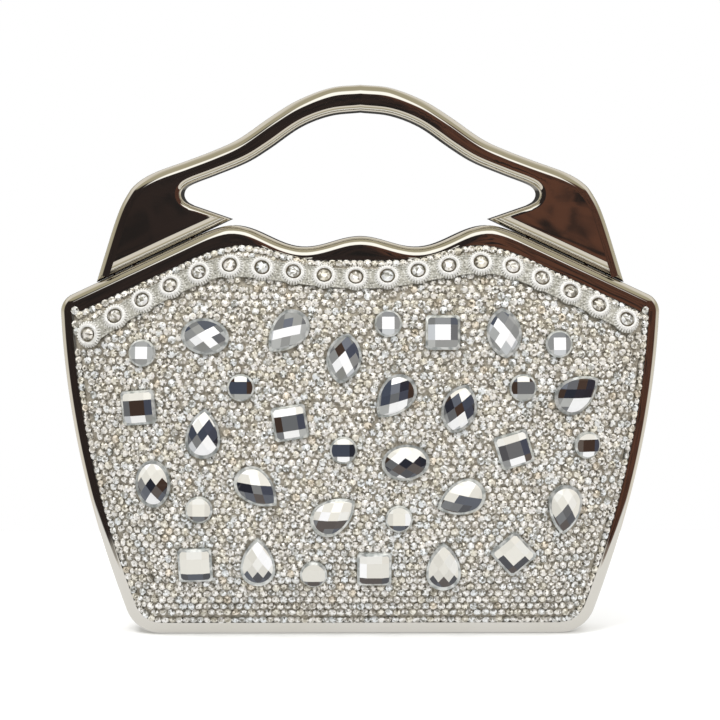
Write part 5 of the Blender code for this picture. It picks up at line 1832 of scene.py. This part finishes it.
def build_hinges(steel):
    """Two hinges: their leaves and pins, and the rivets that hold the leaves."""
    for label, middle in (("left", -HINGE_ACROSS), ("right", HINGE_ACROSS)):
        for side in FACINGS:
            name = f"{label}_{side}_hinge_leaf"
            add_piece(f"{name}_formed", leaf_mesh(middle, side), [steel], f"{side}_half", False, (name,))
        half = HINGE_LENGTH / 2
        profile = [(-half, 0), *rounded(-half, PIN_RADIUS, 1), *reversed(rounded(half, PIN_RADIUS, -1)),
                   (half, 0)]
        place_piece(f"{label}_hinge_pin_turned", turned_mesh("pin", profile), steel,
                    Matrix.Translation((middle, 0, 0)) @ axis_matrix(), "back_half",
                    f"{label}_hinge_pin")
    rivet = turned_mesh("rivet", rivet_profile())
    for number, place in enumerate(rivet_places(), 1):
        for side, facing in FACINGS.items():
            name = f"{side}_hinge_rivet_{number}"
            place_piece(f"{name}_domed", rivet, steel, Matrix.Translation((place.x, place.y * facing, 0)),
                        f"{side}_half", name)


def build_screws(steel):
    """The screws that hold the handle from inside the back half."""
    mesh = screw_mesh()
    for number, matrix in enumerate(screw_matrices(), 1):
        place_piece(f"handle_screw_{number}_slotted", mesh, steel, matrix, "back_half",
                    f"handle_screw_{number}")


def build_magnets(steel, magnet):
    """A pair of magnets under the shoulders of each half, face to face across the seam."""
    tip, corner = handle_foot()
    across = tip.x + (corner.x - tip.x) * MAGNET_PLACE_SHARE
    under = Vector((across, 0, slope_height(across)))
    under -= Vector((math.sin(SHOULDER_SLOPE), 0, math.cos(SHOULDER_SLOPE))) * MAGNET_INSET
    disc = magnet_mesh()
    cup = magnet_cup_mesh()
    for side, facing in FACINGS.items():
        for number, flip in ((1, 1), (2, -1)):
            matrix = Matrix.Translation((under.x * flip, 0, under.z))
            matrix = matrix @ Matrix.Rotation(-math.pi / 2 * facing, 4, "X")
            for kind, mesh, material, slot in (("magnet", disc, magnet, "magnet"),
                                               ("magnet_cup", cup, steel, "hinge_steel")):
                name = f"{side}_{kind}_{number}"
                place_piece(f"{name}_turned", mesh, material, matrix, f"{side}_half", name)


# Stage, light and camera

def add_floor():
    """A level floor, which shades nothing: its clearing would leave a dark pool."""
    shape = bmesh.new()
    bmesh.ops.create_grid(shape, x_segments=1, y_segments=1, size=1)
    shape.transform(Matrix.Diagonal((FLOOR_HALF_WIDTH, FLOOR_HALF_DEPTH, 1, 1)))
    floor = bpy.data.objects.new("floor", finish_mesh("floor", shape))
    bpy.context.scene.collection.objects.link(floor)
    floor.data.materials.append(floor_finish())
    floor.visible_shadow = False
    floor.visible_diffuse = False


def mirrored_room(nodes, direction, height):
    """What the metal mirrors: a pale room, dark in front under a lamp, with a dark band behind."""
    across = nodes.parts(direction)["X"]
    up = nodes.parts(direction)["Z"]
    level = nodes.vector("MULTIPLY", direction, (1, 1, 0))["Vector"]
    level = nodes.parts(nodes.vector("NORMALIZE", level)["Vector"])
    from_side = nodes.number("ABSOLUTE", level["X"])
    low_edge = nodes.number("MULTIPLY_ADD", from_side, FRONT_LOW_SLOPE, up)
    is_front = nodes.number("MULTIPLY", nodes.share(level["Y"], FRONT_SIDE_EDGE),
                            nodes.share(low_edge, FRONT_LOW_EDGE))
    is_rear = nodes.share(level["Y"], REAR_SIDE_EDGE)
    blotches = nodes.node("ShaderNodeTexNoise", {"Vector": direction, "Scale": BLOTCH_SCALE,
                                                 "Detail": BLOTCH_DETAIL}).outputs["Fac"]
    blotched = nodes.share(blotches, BLOTCH_EDGE)
    browned = nodes.number("MULTIPLY", nodes.share(across, BROWN_EDGE), blotched)
    dark = nodes.mixed(browned, nodes.mixed(blotched, NEAR_BLACK, FAINT_BROWN), BROWN)
    lit = nodes.mixed(nodes.share(height, FRONT_LAMP_EDGE), dark, nodes.colours(height, FRONT_STOPS))
    unlit = nodes.mixed(nodes.share(height, FRONT_KHAKI_EDGE), dark, KHAKI)
    front = nodes.mixed(nodes.share(from_side, FRONT_LAMP_HALF_WIDTH), lit, unlit)
    room = nodes.mixed(is_front, nodes.colours(height, SIDE_STOPS), front)
    return nodes.mixed(is_rear, room, nodes.colours(height, REAR_STOPS))


def set_world():
    """White behind the object, plain light on it, and a room that only its metal mirrors."""
    world = bpy.data.worlds.new("studio")
    bpy.context.scene.world = world
    world.use_nodes = True
    world.node_tree.nodes.clear()
    nodes = Nodes(world.node_tree)
    direction = nodes.node("ShaderNodeTexCoord", {}).outputs["Generated"]
    height = nodes.spread(nodes.parts(direction)["Z"], 0, 1, from_low=-1)
    rays = nodes.rays()
    plain = nodes.spread(height, *PLAIN_LIGHT)
    light = nodes.mixed(rays["Is Glossy Ray"], plain, mirrored_room(nodes, direction, height))
    light = nodes.mixed(nodes.seen(rays), light, (1, 1, 1))
    background = nodes.node("ShaderNodeBackground", {"Color": light}).outputs[0]
    nodes.node("ShaderNodeOutputWorld", {"Surface": background})


def add_lamps():
    """Soft square lamps, which the metal doesn't mirror: the room has its own."""
    for name, (place, size, watts) in LAMPS.items():
        light = bpy.data.lights.new(name, "AREA")
        light.shape = "SQUARE"
        light.size = size
        light.energy = watts
        lamp = bpy.data.objects.new(name, light)
        lamp.location = place
        lamp.rotation_euler = (LAMP_AIM - lamp.location).to_track_quat("-Z", "Y").to_euler()
        lamp.visible_glossy = False
        bpy.context.scene.collection.objects.link(lamp)


def add_camera():
    """The camera, where the photograph was taken from."""
    lens = bpy.data.cameras.new("camera")
    lens.lens = CAMERA_LENS
    camera = bpy.data.objects.new("camera", lens)
    camera.location = CAMERA_PLACE
    camera.rotation_euler = (CAMERA_AIM - CAMERA_PLACE).to_track_quat("-Z", "Y").to_euler()
    bpy.context.scene.collection.objects.link(camera)
    bpy.context.scene.camera = camera


def main():
    nickel = nickel_finish()
    small_stones = small_stone_finish()
    facets = facet_finish()
    steel = steel_finish()
    lace = lace_finish()
    build_frames(nickel)
    build_handle(nickel)
    add_pair("skin_backing", skin_backing_mesh(), [backing_finish()], "stone_skin")
    build_large_stones(facets, stone_rim_finish())
    line = trim_line()
    add_pair("small_stones", small_stones_mesh(*small_stone_places(line)), [small_stones])
    add_pair("trim_lace", lace_mesh(line), [lace_ground_finish(), lace], "trim_band")
    add_pair("rosettes", rosettes_mesh(), [collar_finish()])
    add_pair("rosette_stones", rosette_stones_mesh(), [small_stones])
    add_pair("moulded_board", board_mesh(), [board_finish()], "board")
    add_pair("satin_lining", lining_mesh(), [lining_finish()], "lining")
    build_hinges(steel)
    build_screws(steel)
    build_magnets(steel, magnet_finish())
    add_floor()
    set_world()
    add_lamps()
    add_camera()


main()
bpy.context.scene.view_settings.view_transform = "Standard"
